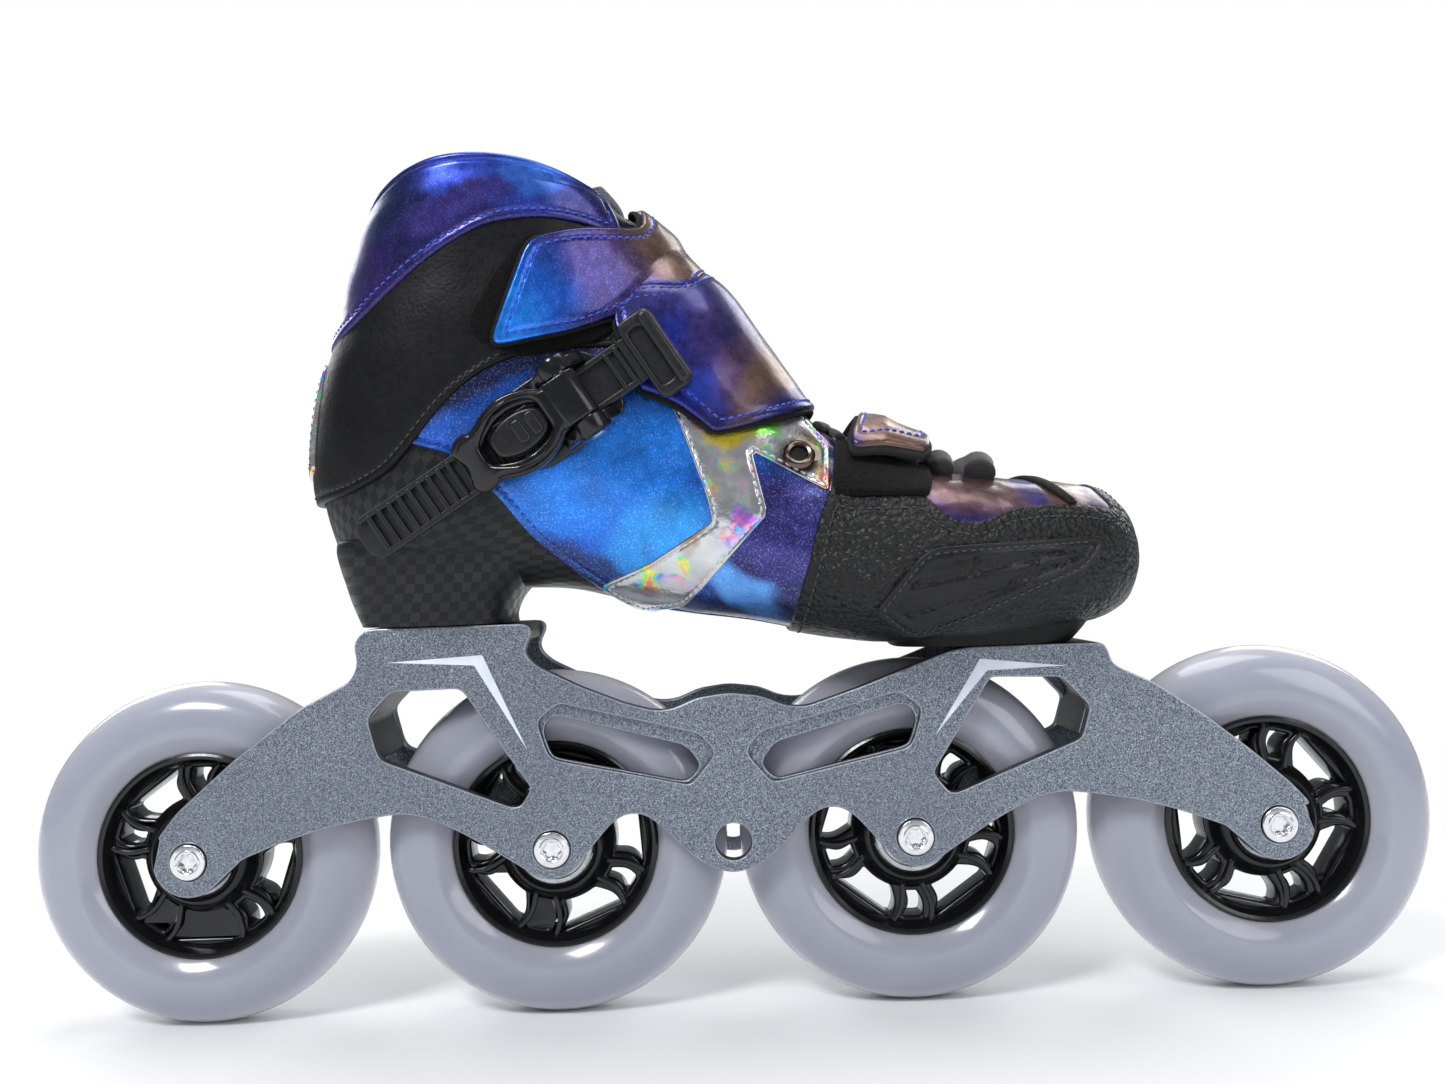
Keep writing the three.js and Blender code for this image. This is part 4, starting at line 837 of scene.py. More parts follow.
def build_frame():
    outline = plate_outline()
    axles = [circle(x, AXLE_Z, 4.3, 40) for x in AXLE_X]
    heads = [circle(x, AXLE_Z, HEAD_R + 0.25, 48) for x in AXLE_X]
    centre = circle(0, AXLE_Z + 0.5, CENTRE_HOLE_R, 48)
    windows = [rounded(REAR_WINDOW, 1.6, 3), rounded(FRONT_WINDOW, 1.6, 3)]
    pockets = [rounded(SLOT_POCKET, 2, 3), rounded(mirror(SLOT_POCKET), 2, 3)]
    slots = [rounded(SLOT, 2.6, 4), rounded(mirror(SLOT), 2.6, 4)]
    parts = []
    for side in (-1, 1):
        face, ledge, inner = (side * y for y in (PLATE_OUT, PLATE_OUT - POCKET_DEPTH, PLATE_IN))
        near = heads if side < 0 else axles
        parts.append(plate(outline, windows + pockets + near + [centre], face, ledge - side * 0.4, 0.45, 1))
        parts.append(plate(outline, windows + slots + axles + [centre], ledge, inner, 0.4, 1))
        for x in AXLE_X:
            y = sorted((side * 12.6, side * (PLATE_IN + 0.5)))
            parts.append(lathe([(4.4, y[0]), (4.4, y[1]), (8.6, y[1]), (6.6, y[0])] if side > 0 else
                               [(4.4, y[0]), (4.4, y[1]), (6.6, y[1]), (8.6, y[0])], x, AXLE_Z, 40))
    reach = PLATE_IN + 0.6
    crosswise = (rounded(REAR_DECK, 0.8, 2), rounded(FRONT_DECK, 0.8, 2), rounded(WEB, 1.5, 3),
                 rounded([(x, min(z, FRONT_WEB_TOP)) for x, z in mirror(WEB)], 1.5, 3))
    parts.extend(plate(bar, [], -reach, reach, 0.3, 1) for bar in crosswise)
    piece = make_mesh("frame_body", *joined(*parts), angle=20)
    finish_piece(piece, "frame", "frame_alloy", ROOT, ["frame"])
    marks = []
    for mark in MARKS:
        for side in (-1, 1):
            y = side * (PLATE_OUT + 0.02)
            marks.append(plate(rounded(mark, 0.3, 1), [], y, y + side * 0.08, 0.02, 0))
    finish_piece(make_mesh("frame_marks", *joined(*marks)), "mark", "frame_alloy")
    for node in ("heel_bolt", "toe_bolt"):
        paint_node(node, "bolt")


# ------------------------------------------------------------------ boot surface
# Rings from the toe, along the foot, round the heel and up to the collar.
# Each: sole x, sole z, top x, top z, half width, sideways shift, squareness, collar lift.
RINGS = np.array([
    (119.2, 129, 119.2, 133, 8, 6, 2.2, 0), (117, 117.5, 117.5, 139.5, 20, 5, 2.3, 0),
    (111, 112.5, 111, 146, 29.5, 4, 2.4, 0), (100, 110, 100, 149, 36, 3, 2.6, 0),
    (84, 108.5, 82, 150.5, 40.5, 1, 2.8, 0), (64, 107.5, 60, 153.5, 42.5, -0.5, 2.8, 0),
    (44, 107.5, 43, 158, 41, -1, 2.8, 0), (26, 110, 32, 164, 38, -1, 2.7, 0),
    (8, 113.5, 21.5, 174, 35, 0, 2.6, 0), (-10, 116, 11, 189.5, 33.5, 0, 2.6, 0),
    (-27, 119, 0, 206, 33, 0, 2.6, 0), (-46, 123.5, -6, 211.5, 33, 0, 2.6, 0),
    (-68, 124, -9.5, 215, 33.5, 0, 2.6, 0), (-92, 122.5, -11.5, 217.5, 33.5, 0, 2.5, 0),
    (-108, 128, -13, 219.5, 34.5, 0, 2.4, 0), (-115.5, 143, -14, 221.5, 36, 0, 2.3, 0),
    (-118, 160, -15, 223.5, 37, 0, 2.2, 0), (-115.5, 180, -17, 225.5, 37, 0, 2.2, 2),
    (-108.5, 201, -19.5, 227.5, 36, 0, 2.2, 5), (-103.5, 217, -22.5, 228.8, 36, 0, 2.2, 9),
    (-99, 229.5, -26.5, 229.8, 36.5, 0, 2.2, 13), (-97, 240.5, -27.5, 240, 36.8, 0, 2.2, 13),
], float)
WAIST = 0.45
TOE_TIP = np.array((119.7, 6, 131), float)
THROAT = 11.0
ROWS_PER_RING = 13
COLUMNS = 216
LAST_RING = len(RINGS) - 1
# About the length in millimetres of one ring's step along the boot and of one degree round it.
RING_MM = 13.0
DEGREE_MM = 0.6
UV_DEGREE_MM = 0.72


def ring_values(t):
    """Sizes between the rings, on a curve through them."""
    i = np.clip(np.floor(t).astype(int), 0, len(RINGS) - 2)
    u = (t - i)[:, None]
    return spline(RINGS[np.maximum(i - 1, 0)], RINGS[i], RINGS[i + 1],
                  RINGS[np.minimum(i + 2, len(RINGS) - 1)], u)


def boot_point(t, phi):
    """Points of the base surface. phi in degrees: 0 on top, 90 at the outer side, 180 under the sole."""
    t, phi = np.atleast_1d(np.asarray(t, float)), np.atleast_1d(np.asarray(phi, float))
    bx, bz, tx, tz, width, shift, square, lift = ring_values(np.maximum(t, 0)).T
    c, s = np.cos(np.radians(phi)), np.sin(np.radians(phi))
    power = 2 / square
    high = np.sign(c) * np.abs(c) ** power
    h = WAIST + np.where(c > 0, 1 - WAIST, WAIST) * high
    wide = np.sign(s) * np.abs(s) ** power
    points = np.column_stack((bx + (tx - bx) * h, shift - width * wide, bz + (tz - bz) * h + lift * s * s))
    nose = np.sqrt(np.clip(1 - np.clip(-t, 0, 1) ** 2, 0, 1))[:, None]
    return TOE_TIP + (points - TOE_TIP) * nose


def boot_normal(t, phi):
    t = np.atleast_1d(np.asarray(t, float))
    phi = np.atleast_1d(np.asarray(phi, float))
    along = boot_point(np.minimum(t + 0.06, LAST_RING), phi) - boot_point(np.maximum(t - 0.06, -1), phi)
    around = boot_point(t, phi + 1.2) - boot_point(t, phi - 1.2)
    normal = np.cross(along, around)
    length = np.linalg.norm(normal, axis=1, keepdims=True)
    return np.where(length > 1e-9, normal / np.maximum(length, 1e-9), (1.0, 0, 0))


def on_boot(t, phi, lift=0.0):
    return boot_point(t, phi) + boot_normal(t, phi) * np.atleast_1d(lift)[:, None]


def make_grid():
    """The base surface as points, normals, (t, phi) and triangles."""
    t = np.linspace(-1, LAST_RING, (LAST_RING + 1) * ROWS_PER_RING + 1)
    phi = np.linspace(-180, 180, COLUMNS, False)
    tt, pp = (v.ravel() for v in np.meshgrid(t, phi, indexing="ij"))
    i, j = (v.ravel() for v in np.meshgrid(np.arange(len(t) - 1), np.arange(COLUMNS), indexing="ij"))
    a = i * COLUMNS + j
    b = i * COLUMNS + (j + 1) % COLUMNS
    c, d = b + COLUMNS, a + COLUMNS
    flip = (i + j) % 2 == 0
    first = np.where(flip[:, None], np.column_stack((a, d, c)), np.column_stack((a, d, b)))
    second = np.where(flip[:, None], np.column_stack((a, c, b)), np.column_stack((b, d, c)))
    return boot_point(tt, pp), boot_normal(tt, pp), tt, pp, np.vstack((first, second))


GRID = make_grid()
GRID_ARC = np.abs(GRID[3])


def smooth_step(v):
    v = np.clip(v, 0, 1)
    return v * v * (3 - 2 * v)


def distance_inside(outline, x, z):
    """Distance from an outline's edge, positive inside it."""
    best = np.full(len(x), 1e9)
    inside = np.zeros(len(x), bool)
    n = len(outline)
    for k in range(n):
        (ax, az), (bx, bz) = outline[k], outline[(k + 1) % n]
        dx, dz = bx - ax, bz - az
        span = dx * dx + dz * dz
        if span < 1e-12:
            continue
        u = np.clip(((x - ax) * dx + (z - az) * dz) / span, 0, 1)
        best = np.minimum(best, (x - ax - u * dx) ** 2 + (z - az - u * dz) ** 2)
        crosses = (az > z) != (bz > z)
        if dz != 0:
            inside ^= crosses & (x < ax + (z - az) * dx / dz)
    return np.where(inside, 1, -1) * np.sqrt(best)


def split(table, tris, column, level):
    """Cuts every triangle along the line where a column of the table has a value."""
    away = table[:, column] - level
    away[np.abs(away) < 0.02] = 0
    table[:, column] = away + level
    side = np.sign(away).astype(int)
    s = side[tris]
    crossing = (s.min(1) < 0) & (s.max(1) > 0)
    keep, work = tris[~crossing], tris[crossing]
    if not len(work):
        return table, tris
    s = side[work]
    on_line = (s == 0).any(1)
    lone = np.where(on_line, np.argmax(s == 0, 1), np.argmax(s == -np.sign(s.sum(1))[:, None], 1))
    order = (lone[:, None] + np.arange(3)) % 3
    work = np.take_along_axis(work, order, 1)
    a, b, c = work.T
    pairs = np.vstack((np.column_stack((b, c))[on_line], np.column_stack((a, b))[~on_line],
                       np.column_stack((a, c))[~on_line]))
    unique, index = np.unique(np.sort(pairs, 1), axis=0, return_inverse=True)
    index = index.ravel() + len(table)
    p, q = unique.T
    share = (away[p] / (away[p] - away[q]))[:, None]
    table = np.vstack((table, table[p] * (1 - share) + table[q] * share))
    table[-len(unique):, column] = level
    k, m = on_line.sum(), (~on_line).sum()
    middle, ab, ac = index[:k], index[k:k + m], index[k + m:]
    line, rest = work[on_line], work[~on_line]
    made = np.vstack((
        keep,
        np.column_stack((line[:, 0], line[:, 1], middle)), np.column_stack((line[:, 0], middle, line[:, 2])),
        np.column_stack((rest[:, 0], ab, ac)), np.column_stack((ab, rest[:, 1], rest[:, 2])),
        np.column_stack((ab, rest[:, 2], ac)),
    ))
    return table, made


def ripple(points, size, seed):
    """Smooth noise for wrinkles, from -1 to 1."""
    shift = Vector((seed * 7.3, seed * 3.1, seed * 5.7))
    return np.array([noise.noise(Vector(p) / size + shift) for p in points])


STITCHES = {}
STITCH_PITCH, STITCH_LENGTH, STITCH_RADIUS = 2.4, 1.7, 0.27


def stitch_line(points, normals, edges, tint):
    """Stitches along chained edges, kept for the joined thread pieces."""
    links = {}
    for a, b in edges:
        links.setdefault(a, []).append(b)
        links.setdefault(b, []).append(a)
    used = set()
    starts = sorted(links, key=lambda v: (len(links[v]) != 1, v))
    for start in starts:
        if start in used:
            continue
        chain = [start]
        used.add(start)
        while True:
            onward = [v for v in links[chain[-1]] if v not in used]
            if not onward:
                break
            chain.append(onward[0])
            used.add(onward[0])
        if len(chain) < 4:
            continue
        path, up = points[chain], normals[chain]
        steps = np.linalg.norm(np.diff(path, axis=0), axis=1)
        run = np.concatenate(([0], np.cumsum(steps)))
        half = STITCH_LENGTH / 2
        for at in np.arange(STITCH_PITCH / 2, run[-1] - half, STITCH_PITCH):
            start, end, lift = (np.array([np.interp(where, run, rows[:, k]) for k in range(3)])
                                for where, rows in ((at - half, path), (at + half, path), (at, up)))
            STITCHES.setdefault(tint, []).append((start, end, lift))


THREAD_SLOTS = {"blue_thread": "leather_blue", "black_thread": "leather_black", "white_thread": "foil_silver"}


def build_stitches():
    """One piece per body and thread colour: short humped strands that dip in at both ends."""
    for (tint, body), rows in STITCHES.items():
        points, faces = [], []
        around, rings = 6, 5
        for start, end, lift in rows:
            along = end - start
            length = np.linalg.norm(along)
            if length < 0.3:
                continue
            lift = lift / np.linalg.norm(lift)
            side = np.cross(along / length, lift)
            base = len(points)
            for k in range(rings):
                f = k / (rings - 1)
                thick = STITCH_RADIUS * math.sin(math.pi * (0.14 + 0.72 * f)) ** 0.6
                centre = start + along * f + lift * (0.34 * math.sin(math.pi * f) - 0.02)
                for m in range(around):
                    a = 2 * math.pi * m / around
                    points.append(centre + side * math.cos(a) * thick * 1.15 + lift * math.sin(a) * thick)
            faces.extend(ring_faces(rings, around, base))
        piece = make_mesh(f"stitches_{tint}_{body}", points, faces, angle=70)
        bends = body in BLENDS
        finish_piece(piece, tint, THREAD_SLOTS[tint], None if bends else body)
        if bends:
            fold(piece, body)


EDGE_REACH = 3.0
GROOVE_DEPTH, GROOVE_HALF = 0.32, 0.42
# Columns of a panel's table after its points and normals. Extra fields follow the value.
T, ARC, VALUE = 6, 7, 8


def panel(name, field, low, high, material, slot, nodes=(), roll=0.8, stitch=None, stitch_tint="blue_thread",
          where=None, wrinkle=(0.0, 10.0), puff=0.0, lift=None, extra=(), body=ROOT, stitch_body=None):
    """A layer of the boot where field(x, y, z, t, arc) is positive, from low to high above the base surface.

    Its edge is rolled. A stitched groove can follow the edge, a distance stitch inside it, where the
    stitches can be kept to one part of it. extra holds (field, cuts, height) for details of the face.
    """
    base, normals, t, _, tris = GRID
    value = field(base[:, 0], base[:, 1], base[:, 2], t, GRID_ARC)
    near = (value[tris] > -EDGE_REACH).all(1) & (value[tris] > 0).any(1)
    tris = tris[near]
    picked, tris = np.unique(tris, return_inverse=True)
    tris = tris.reshape(-1, 3)
    columns = [base[picked], normals[picked], t[picked, None], GRID_ARC[picked, None], value[picked, None]]
    for more, _, _ in extra:
        columns.append(more(*base[picked].T, t[picked], GRID_ARC[picked])[:, None])
    table = np.hstack(columns)
    cuts = [0, roll * 0.15, roll * 0.5, roll]
    if stitch:
        cuts += [stitch - 0.55, stitch, stitch + 0.55]
    for level in sorted(cuts):
        table, tris = split(table, tris, VALUE, level)
        if level == 0:
            tris = tris[table[tris, VALUE].mean(1) > 0]
    for k, (_, levels, _) in enumerate(extra, VALUE + 1):
        for level in levels:
            table, tris = split(table, tris, k, level)
    used, tris = np.unique(tris, return_inverse=True)
    table, tris = table[used], tris.reshape(-1, 3)
    point, normal, value = table[:, :3], table[:, 3:6], table[:, VALUE]
    normal = normal / np.linalg.norm(normal, axis=1, keepdims=True)
    inward = np.clip(1 - value / roll, 0, 1)
    height = high - roll * (1 - np.sqrt(np.clip(1 - inward ** 2, 0, 1))) * 0.9
    if puff:
        height = height + puff * smooth_step((value - (stitch or roll)) / 9)
    if wrinkle[0]:
        rough = ripple(point, wrinkle[1], len(name)) + 0.5 * ripple(point, wrinkle[1] * 0.45, len(name) + 3)
        height = height + wrinkle[0] * rough * smooth_step(value / 5)
    for k, (_, _, shape) in enumerate(extra, VALUE + 1):
        height = height + shape(table[:, k], value)
    if stitch:
        height = height - GROOVE_DEPTH * np.exp(-((value - stitch) / GROOVE_HALF) ** 2)
    raise_by = lift(table[:, T], table[:, ARC]) if lift else 0.0
    outer = point + normal * (height + raise_by)[:, None]
    inner = point + normal * (np.minimum(low, height - 0.3) + raise_by)[:, None]
    n = len(point)
    edges = np.vstack((tris[:, [0, 1]], tris[:, [1, 2]], tris[:, [2, 0]]))
    keys = np.sort(edges, 1)
    _, first, count = np.unique(keys, axis=0, return_index=True, return_counts=True)
    rim = edges[first[count == 1]]
    walls = np.vstack((np.column_stack((rim[:, 1], rim[:, 0], rim[:, 0] + n)),
                       np.column_stack((rim[:, 1], rim[:, 0] + n, rim[:, 1] + n))))
    faces = np.vstack((tris, tris[:, ::-1] + n, walls))
    piece = make_mesh(name, np.vstack((outer, inner)), faces, angle=50)
    uv = piece.data.uv_layers.new(name="surface")
    corner = np.empty(len(piece.data.loops), int)
    piece.data.loops.foreach_get("vertex_index", corner)
    corner %= n
    around_and_along = table[:, [ARC, T]] * (UV_DEGREE_MM, RING_MM)
    uv.data.foreach_set("uv", around_and_along[corner].ravel() * MM)
    if stitch:
        on = np.abs(value - stitch) < 1e-6
        pick = on[edges].all(1)
        middle = point[edges].mean(1)
        if where:
            pick &= where(*middle.T)
        lines = np.unique(np.sort(edges[pick], 1), axis=0)
        stitch_line(outer, normal, lines.tolist(), (stitch_tint, stitch_body or body or ROOT))
    finish_piece(piece, material, slot, body, nodes)
    return piece


# ------------------------------------------------------------------ boot panels
# A field tells about how far inside an area each point is, from its x, y, z, t and arc, the angle from
# the top.
def shape_of(outline, reach=4.0, side=0, throat=False):
    """A field from a side outline: side -1 keeps the outer side, 1 the inner, throat leaves the top free."""
    smooth = rounded(outline, reach, 3)

    def field(x, y, z, t, arc):
        value = distance_inside(smooth, x, z)
        if side:
            value = np.minimum(value, side * y - THROAT * throat)
        return value
    return field


def rows(low, high):
    """The part of the boot between two rings."""
    return lambda x, y, z, t, arc: np.minimum((t - low) * RING_MM, (high - t) * RING_MM)


def above(limit):
    """The part up to an angle from the top."""
    return lambda x, y, z, t, arc: (limit - arc) * DEGREE_MM


def below(limit):
    """The part from an angle on, down to the sole."""
    return lambda x, y, z, t, arc: (arc - limit) * DEGREE_MM


def both(*fields):
    """The area that all the fields share."""
    return lambda *at: np.min([field(*at) for field in fields], axis=0)


WRAP_EDGE = [
    (-12, 207), (-20, 193), (-26.6, 189.7), (-37.5, 190.5), (-51.8, 189.3), (-62, 185.9), (-70.3, 180.4),
    (-77.3, 173.5), (-84.1, 165.2),
]
HEEL_EDGE = [(-90.6, 158.4), (-98.2, 154.6), (-105.7, 152.1), (-130, 149)]
COLLAR_EDGE = [
    (-130, 186), (-111.5, 193), (-98, 199.9), (-89.4, 206.6), (-80.3, 213.7), (-72.1, 219.3),
    (-61.6, 224.9), (-50.5, 226.3), (-42.4, 226), (-35.1, 224.3), (-20, 218),
]
GUARD_REAR = [(18, 100), (18.2, 112), (23.9, 130.5), (26.7, 141.4), (31.2, 151)]
GUARD_TOP = [
    (33.1, 145.8), (55.7, 145), (57.9, 141), (64, 137.7), (70.2, 137.9), (75.8, 140.2), (82.1, 141.4),
    (91.4, 141.6), (101, 141.2), (110, 139.6), (106, 145.6), (104.5, 165),
]
QUARTER = [
    (-84.1, 165.2), (-78, 163.5), (-72.7, 161.4), (-61.4, 150), (-53, 138.8), (-44.4, 131), (-36.4, 125.3),
    (-24.5, 116), (-7, 109), (-2, 98), (24, 98), (30, 130), (36, 150), (40, 164), (44, 184), (26, 192),
    (12, 206), (0, 218), (-8, 212), (-18, 199), (-26, 195), (-38, 196), (-54, 195), (-66, 191), (-75, 185),
    (-83, 177), (-90, 168),
]
WRAP = WRAP_EDGE + HEEL_EDGE + [(-130, 192), (-98, 206), (-80, 219), (-61, 231), (-35, 231), (-16, 224)]
COLLAR = COLLAR_EDGE + [(-6, 222), (-10, 262), (-130, 262)]
GUARD = GUARD_REAR + GUARD_TOP + [(140, 165), (140, 96)]
VAMP = [
    (28, 147), (34, 140), (54, 139), (60, 133), (104, 133), (116, 136), (109, 150), (107, 184), (39, 184),
    (35, 164),
]
CHEVRON = [
    (-13.6, 174.7), (-9.2, 163.6), (-3.7, 147.2), (-2.6, 141.1), (-20.5, 130.9), (-35.5, 125.3),
    (-23.7, 117.5), (-11.5, 119.3), (-6.7, 123), (12.7, 142.6), (8.6, 160), (29.4, 147.6), (29.8, 160.6),
    (22.4, 171.5), (10, 176),
]
BUMPER = [
    (41.1, 116), (41.9, 118.3), (53.3, 130.3), (57.2, 131.7), (100.7, 133.2), (103.4, 132.4),
    (102.1, 129.3), (97.2, 124.1), (54.8, 110.1), (50.1, 109.8),
]
SIDES = (("lateral", -1), ("medial", 1))
LININGS = [name for name in frame["nodes"] if name.endswith("_lining")]
BUMPER_ACROSS = [((64, 106), (68, 136)), ((80, 112), (85, 138))]
BUMPER_ALONG = [((50, 115), (104, 130)), ((48, 122), (104, 131.5))]
BUMPER_RIM, BUMPER_SINK = 2.9, 0.7


def line_gap(a, b):
    """A field: distance from the line through a and b in the side view."""
    dx, dz = b[0] - a[0], b[1] - a[1]
    length = math.hypot(dx, dz)
    return lambda x, y, z, t, arc: np.abs((x - a[0]) * dz - (z - a[1]) * dx) / length


def cell_groove(gap, value):
    """A round-bottomed groove along a line field, fading out near the piece's edge."""
    return -0.8 * np.exp(-(gap / 0.8) ** 2) * smooth_step((value - 2.2) / 1.2)


def build_boot():
    panel("carbon_cup", both(rows(3, 16.4), below(96)), -2.6, -0.5, "carbon", "carbon", ["carbon_shell"])
    for name, side in SIDES:
        panel(f"quarter_{name}_leather", shape_of(QUARTER, 4, side, throat=True), -0.4, 1.2, "quarter",
              "leather_blue", [f"quarter_{name}"], stitch=2.3, wrinkle=(0.3, 13),
              where=lambda x, y, z: (x < -20) & (z < 166) & (x + z > 80))
    panel("vamp_leather", both(shape_of(VAMP, 4), above(108), lambda x, y, z, t, arc: np.maximum(
          np.abs(y) - THROAT, x - 76)), -0.4, 1.4, "vamp", "leather_bronze", ["vamp"], stitch=2.0,
          wrinkle=(0.35, 9), where=lambda x, y, z: (np.abs(y) < 14) & (x < 79))
    panel("ankle_wrap_leather", both(shape_of(WRAP, 5), below(24)), -0.2, 2.0, "wrap", "leather_black",
          ["ankle_wrap"], stitch=2.2, stitch_tint="black_thread", wrinkle=(0.35, 16),
          where=lambda x, y, z: z < 200)
    collar = panel("collar_leather", both(shape_of(COLLAR, 5), rows(0, 20.15), below(36)), -1.0, 3.0,
                   "collar", "leather_blue", ["collar"], stitch=2.6, puff=0.9, roll=1.3, wrinkle=(0.3, 18),
                   where=lambda x, y, z: z < 230)
    panel("toe_guard_skin", both(shape_of(GUARD, 3), rows(-2, 8.2)), -0.3, 2.1, "guard", "guard_black",
          ["toe_guard"], stitch=3.2, stitch_tint="black_thread", wrinkle=(0.22, 5))
    for name, side in SIDES:
        panel(f"chevron_{name}_foil", shape_of(CHEVRON, 1.4, side), 1.0, 1.9, "foil", "foil_silver",
              [f"chevron_{name}"], stitch=1.2, stitch_tint="white_thread", roll=0.4, wrinkle=(0.16, 6))
        cells = [(line_gap(*line), (0.7, 1.2), cell_groove) for line in BUMPER_ACROSS + BUMPER_ALONG]
        frame_rim = (shape_of(BUMPER, 2), (BUMPER_RIM, BUMPER_RIM + 0.7),
                     lambda gap, value: -BUMPER_SINK * smooth_step((value - BUMPER_RIM) / 0.7))
        panel(f"bumper_{name}_plate", shape_of(BUMPER, 2, side), 1.6, 3.3, "bumper", "bumper_black",
              [f"bumper_{name}"], stitch=1.5, stitch_tint="black_thread", roll=0.6, extra=[frame_rim, *cells])
    panel("heel_badge_plate", both(rows(15.9, 17.4), below(157)), 1.6, 3.2, "foil", "bumper_black",
          ["heel_badge"], roll=0.5, stitch=1.8, stitch_tint="black_thread")
    lining = panel("lining_padding", rows(-2, 20.25), -6.6, -2.7, "lining", "lining", LININGS, roll=1.8)
    tongue = panel("tongue_padding", both(rows(4.2, 20.6), above(30)), -2.6, 1.0, "tongue", "lining",
                   ["tongue"], roll=1.6, puff=0.8, stitch=4.0, stitch_tint="black_thread")


def loft(sections, exponent=3.2, count=64):
    """A closed body through level sections (z, x0, x1, half width, y middle), rounded rectangles in plan."""
    points = []
    for z, x0, x1, half, y in sections:
        for k in range(count):
            a = 2 * math.pi * k / count
            c, s = math.cos(a), math.sin(a)
            u = math.copysign(abs(c) ** (2 / exponent), c)
            v = math.copysign(abs(s) ** (2 / exponent), s)
            points.append(((x0 + x1) / 2 + (x1 - x0) / 2 * u, y + half * v, z))
    return np.array(points), ring_faces(len(sections), count)


def curve_between(given, steps=5):
    """More rows of numbers through the given ones, on a smooth curve."""
    given = np.array(given, float)
    made = []
    for i in range(len(given) - 1):
        four = given[max(i - 1, 0)], given[i], given[i + 1], given[min(i + 2, len(given) - 1)]
        made.extend(spline(*four, k / steps) for k in range(steps))
    return [*made, given[-1]]


def build_blocks():
    """The carbon heel between cup and rear deck, and the sole block under the ball."""
    heel = curve_between([
        (114.8, -106.6, -62.2, 19.5, 0), (117.5, -107.6, -62.4, 20.5, 0), (122, -109.2, -60.5, 22.5, 0),
        (127, -110.5, -56, 25, 0), (132, -112, -50, 26.2, 0), (137, -113, -46, 27, 0),
        (140, -112, -48, 26, 0), (138, -108, -54, 20, 0), (131, -104, -60, 16, 0)])
    block = make_mesh("heel_block", *loft(heel), angle=50)
    uv = block.data.uv_layers.new(name="surface")
    for loop in block.data.loops:
        x, y, z = block.data.vertices[loop.vertex_index].co
        uv.data[loop.index].uv = (x + y * 0.6, z)
    finish_piece(block, "carbon", "carbon")
    toe = curve_between([(103.8, 49, 101, 20, 1), (106, 47, 103, 22, 1), (110, 44, 106, 25, 1),
                         (115, 41, 108, 27, 1)])
    finish_piece(make_mesh("toe_block", *loft(toe)), "sole", "guard_black")


# ------------------------------------------------------------------ straps
ANKLE_PAD = [(-69, 196), (-56, 187.6), (-30, 192), (-24, 200), (-24, 222), (-51.9, 222.5), (-62, 208)]
TOE_PAD = [(30, 150), (31, 146.4), (56.5, 144.6), (58, 151.5), (57, 162), (33, 168)]
ANKLE_STRAP = [
    (-62, 190.6), (-28.6, 197.3), (-24, 198.5), (-10, 201), (0, 212), (-8, 245), (-27, 245),
    (-22.4, 223.4), (-39.2, 222.7), (-50.9, 219.8),
]
INSTEP_STRAP = [
    (-28.6, 197.3), (-28.2, 202.9), (-25.4, 205.6), (-18, 207.3), (-7.7, 207), (0, 219), (20, 215),
    (38, 180), (23.5, 169.5), (11.2, 167), (0.2, 165), (-5.3, 165.8), (-13.8, 174.2), (-21.4, 175.6),
]
TOE_STRAP = [
    (33.3, 155), (56.2, 150.6), (57.4, 154), (58.4, 161.6), (62.8, 160.5), (66, 185), (34, 185),
    (35.8, 169.5),
]
TOE_TAB = [(85.5, 151), (89.5, 151.5), (98.2, 141.4), (95.4, 141.4)]


def joint_place(name):
    joint = next(j for j in frame["joints"] if j["name"] == name)
    return Vector(joint["pos_m"]), Vector(joint["axis"]).normalized()


def arch(t, arc):
    """The toe strap stands off the boot over the lacing."""
    rise = np.where(t < 6, 6 + (t - 5) * 2.6, 8.6 - (t - 6) * 2.2)
    return rise * np.maximum(0, np.cos(np.radians(arc * 1.5)))


BLENDS = {}
FOLD_HALF = 5 * MM


def fold(piece, flap):
    """Notes a span across the flap's hinge for a strap between the boot and its flap, and bakes the piece's
    place into its points.
    """
    if flap not in BLENDS:
        centre, axis = joint_place(f"{flap}_open")
        outward = Vector((0, -1, 0))
        half = (outward - axis * axis.dot(outward)).normalized() * FOLD_HALF
        BLENDS[flap] = (centre - half, centre + half)
    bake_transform(piece)


BACKING_MARGIN = 0.9


def strap(name, field, low, high, material, slot, nodes, flap=None, lift=None, stitch=2.5):
    """A leather strap on a slightly larger black backing."""
    body = None if flap else ROOT
    backing = panel(f"{name}_backing", lambda *at: field(*at) + BACKING_MARGIN, low - 0.7, low + 0.5,
                    "backing", "webbing", roll=0.5, lift=lift, body=body)
    face = panel(f"{name}_leather", field, low, high, material, slot, nodes, stitch=stitch, lift=lift,
                 puff=0.25, wrinkle=(0.2, 11), body=body, stitch_body=flap or ROOT)
    if flap:
        fold(backing, flap)
        fold(face, flap)


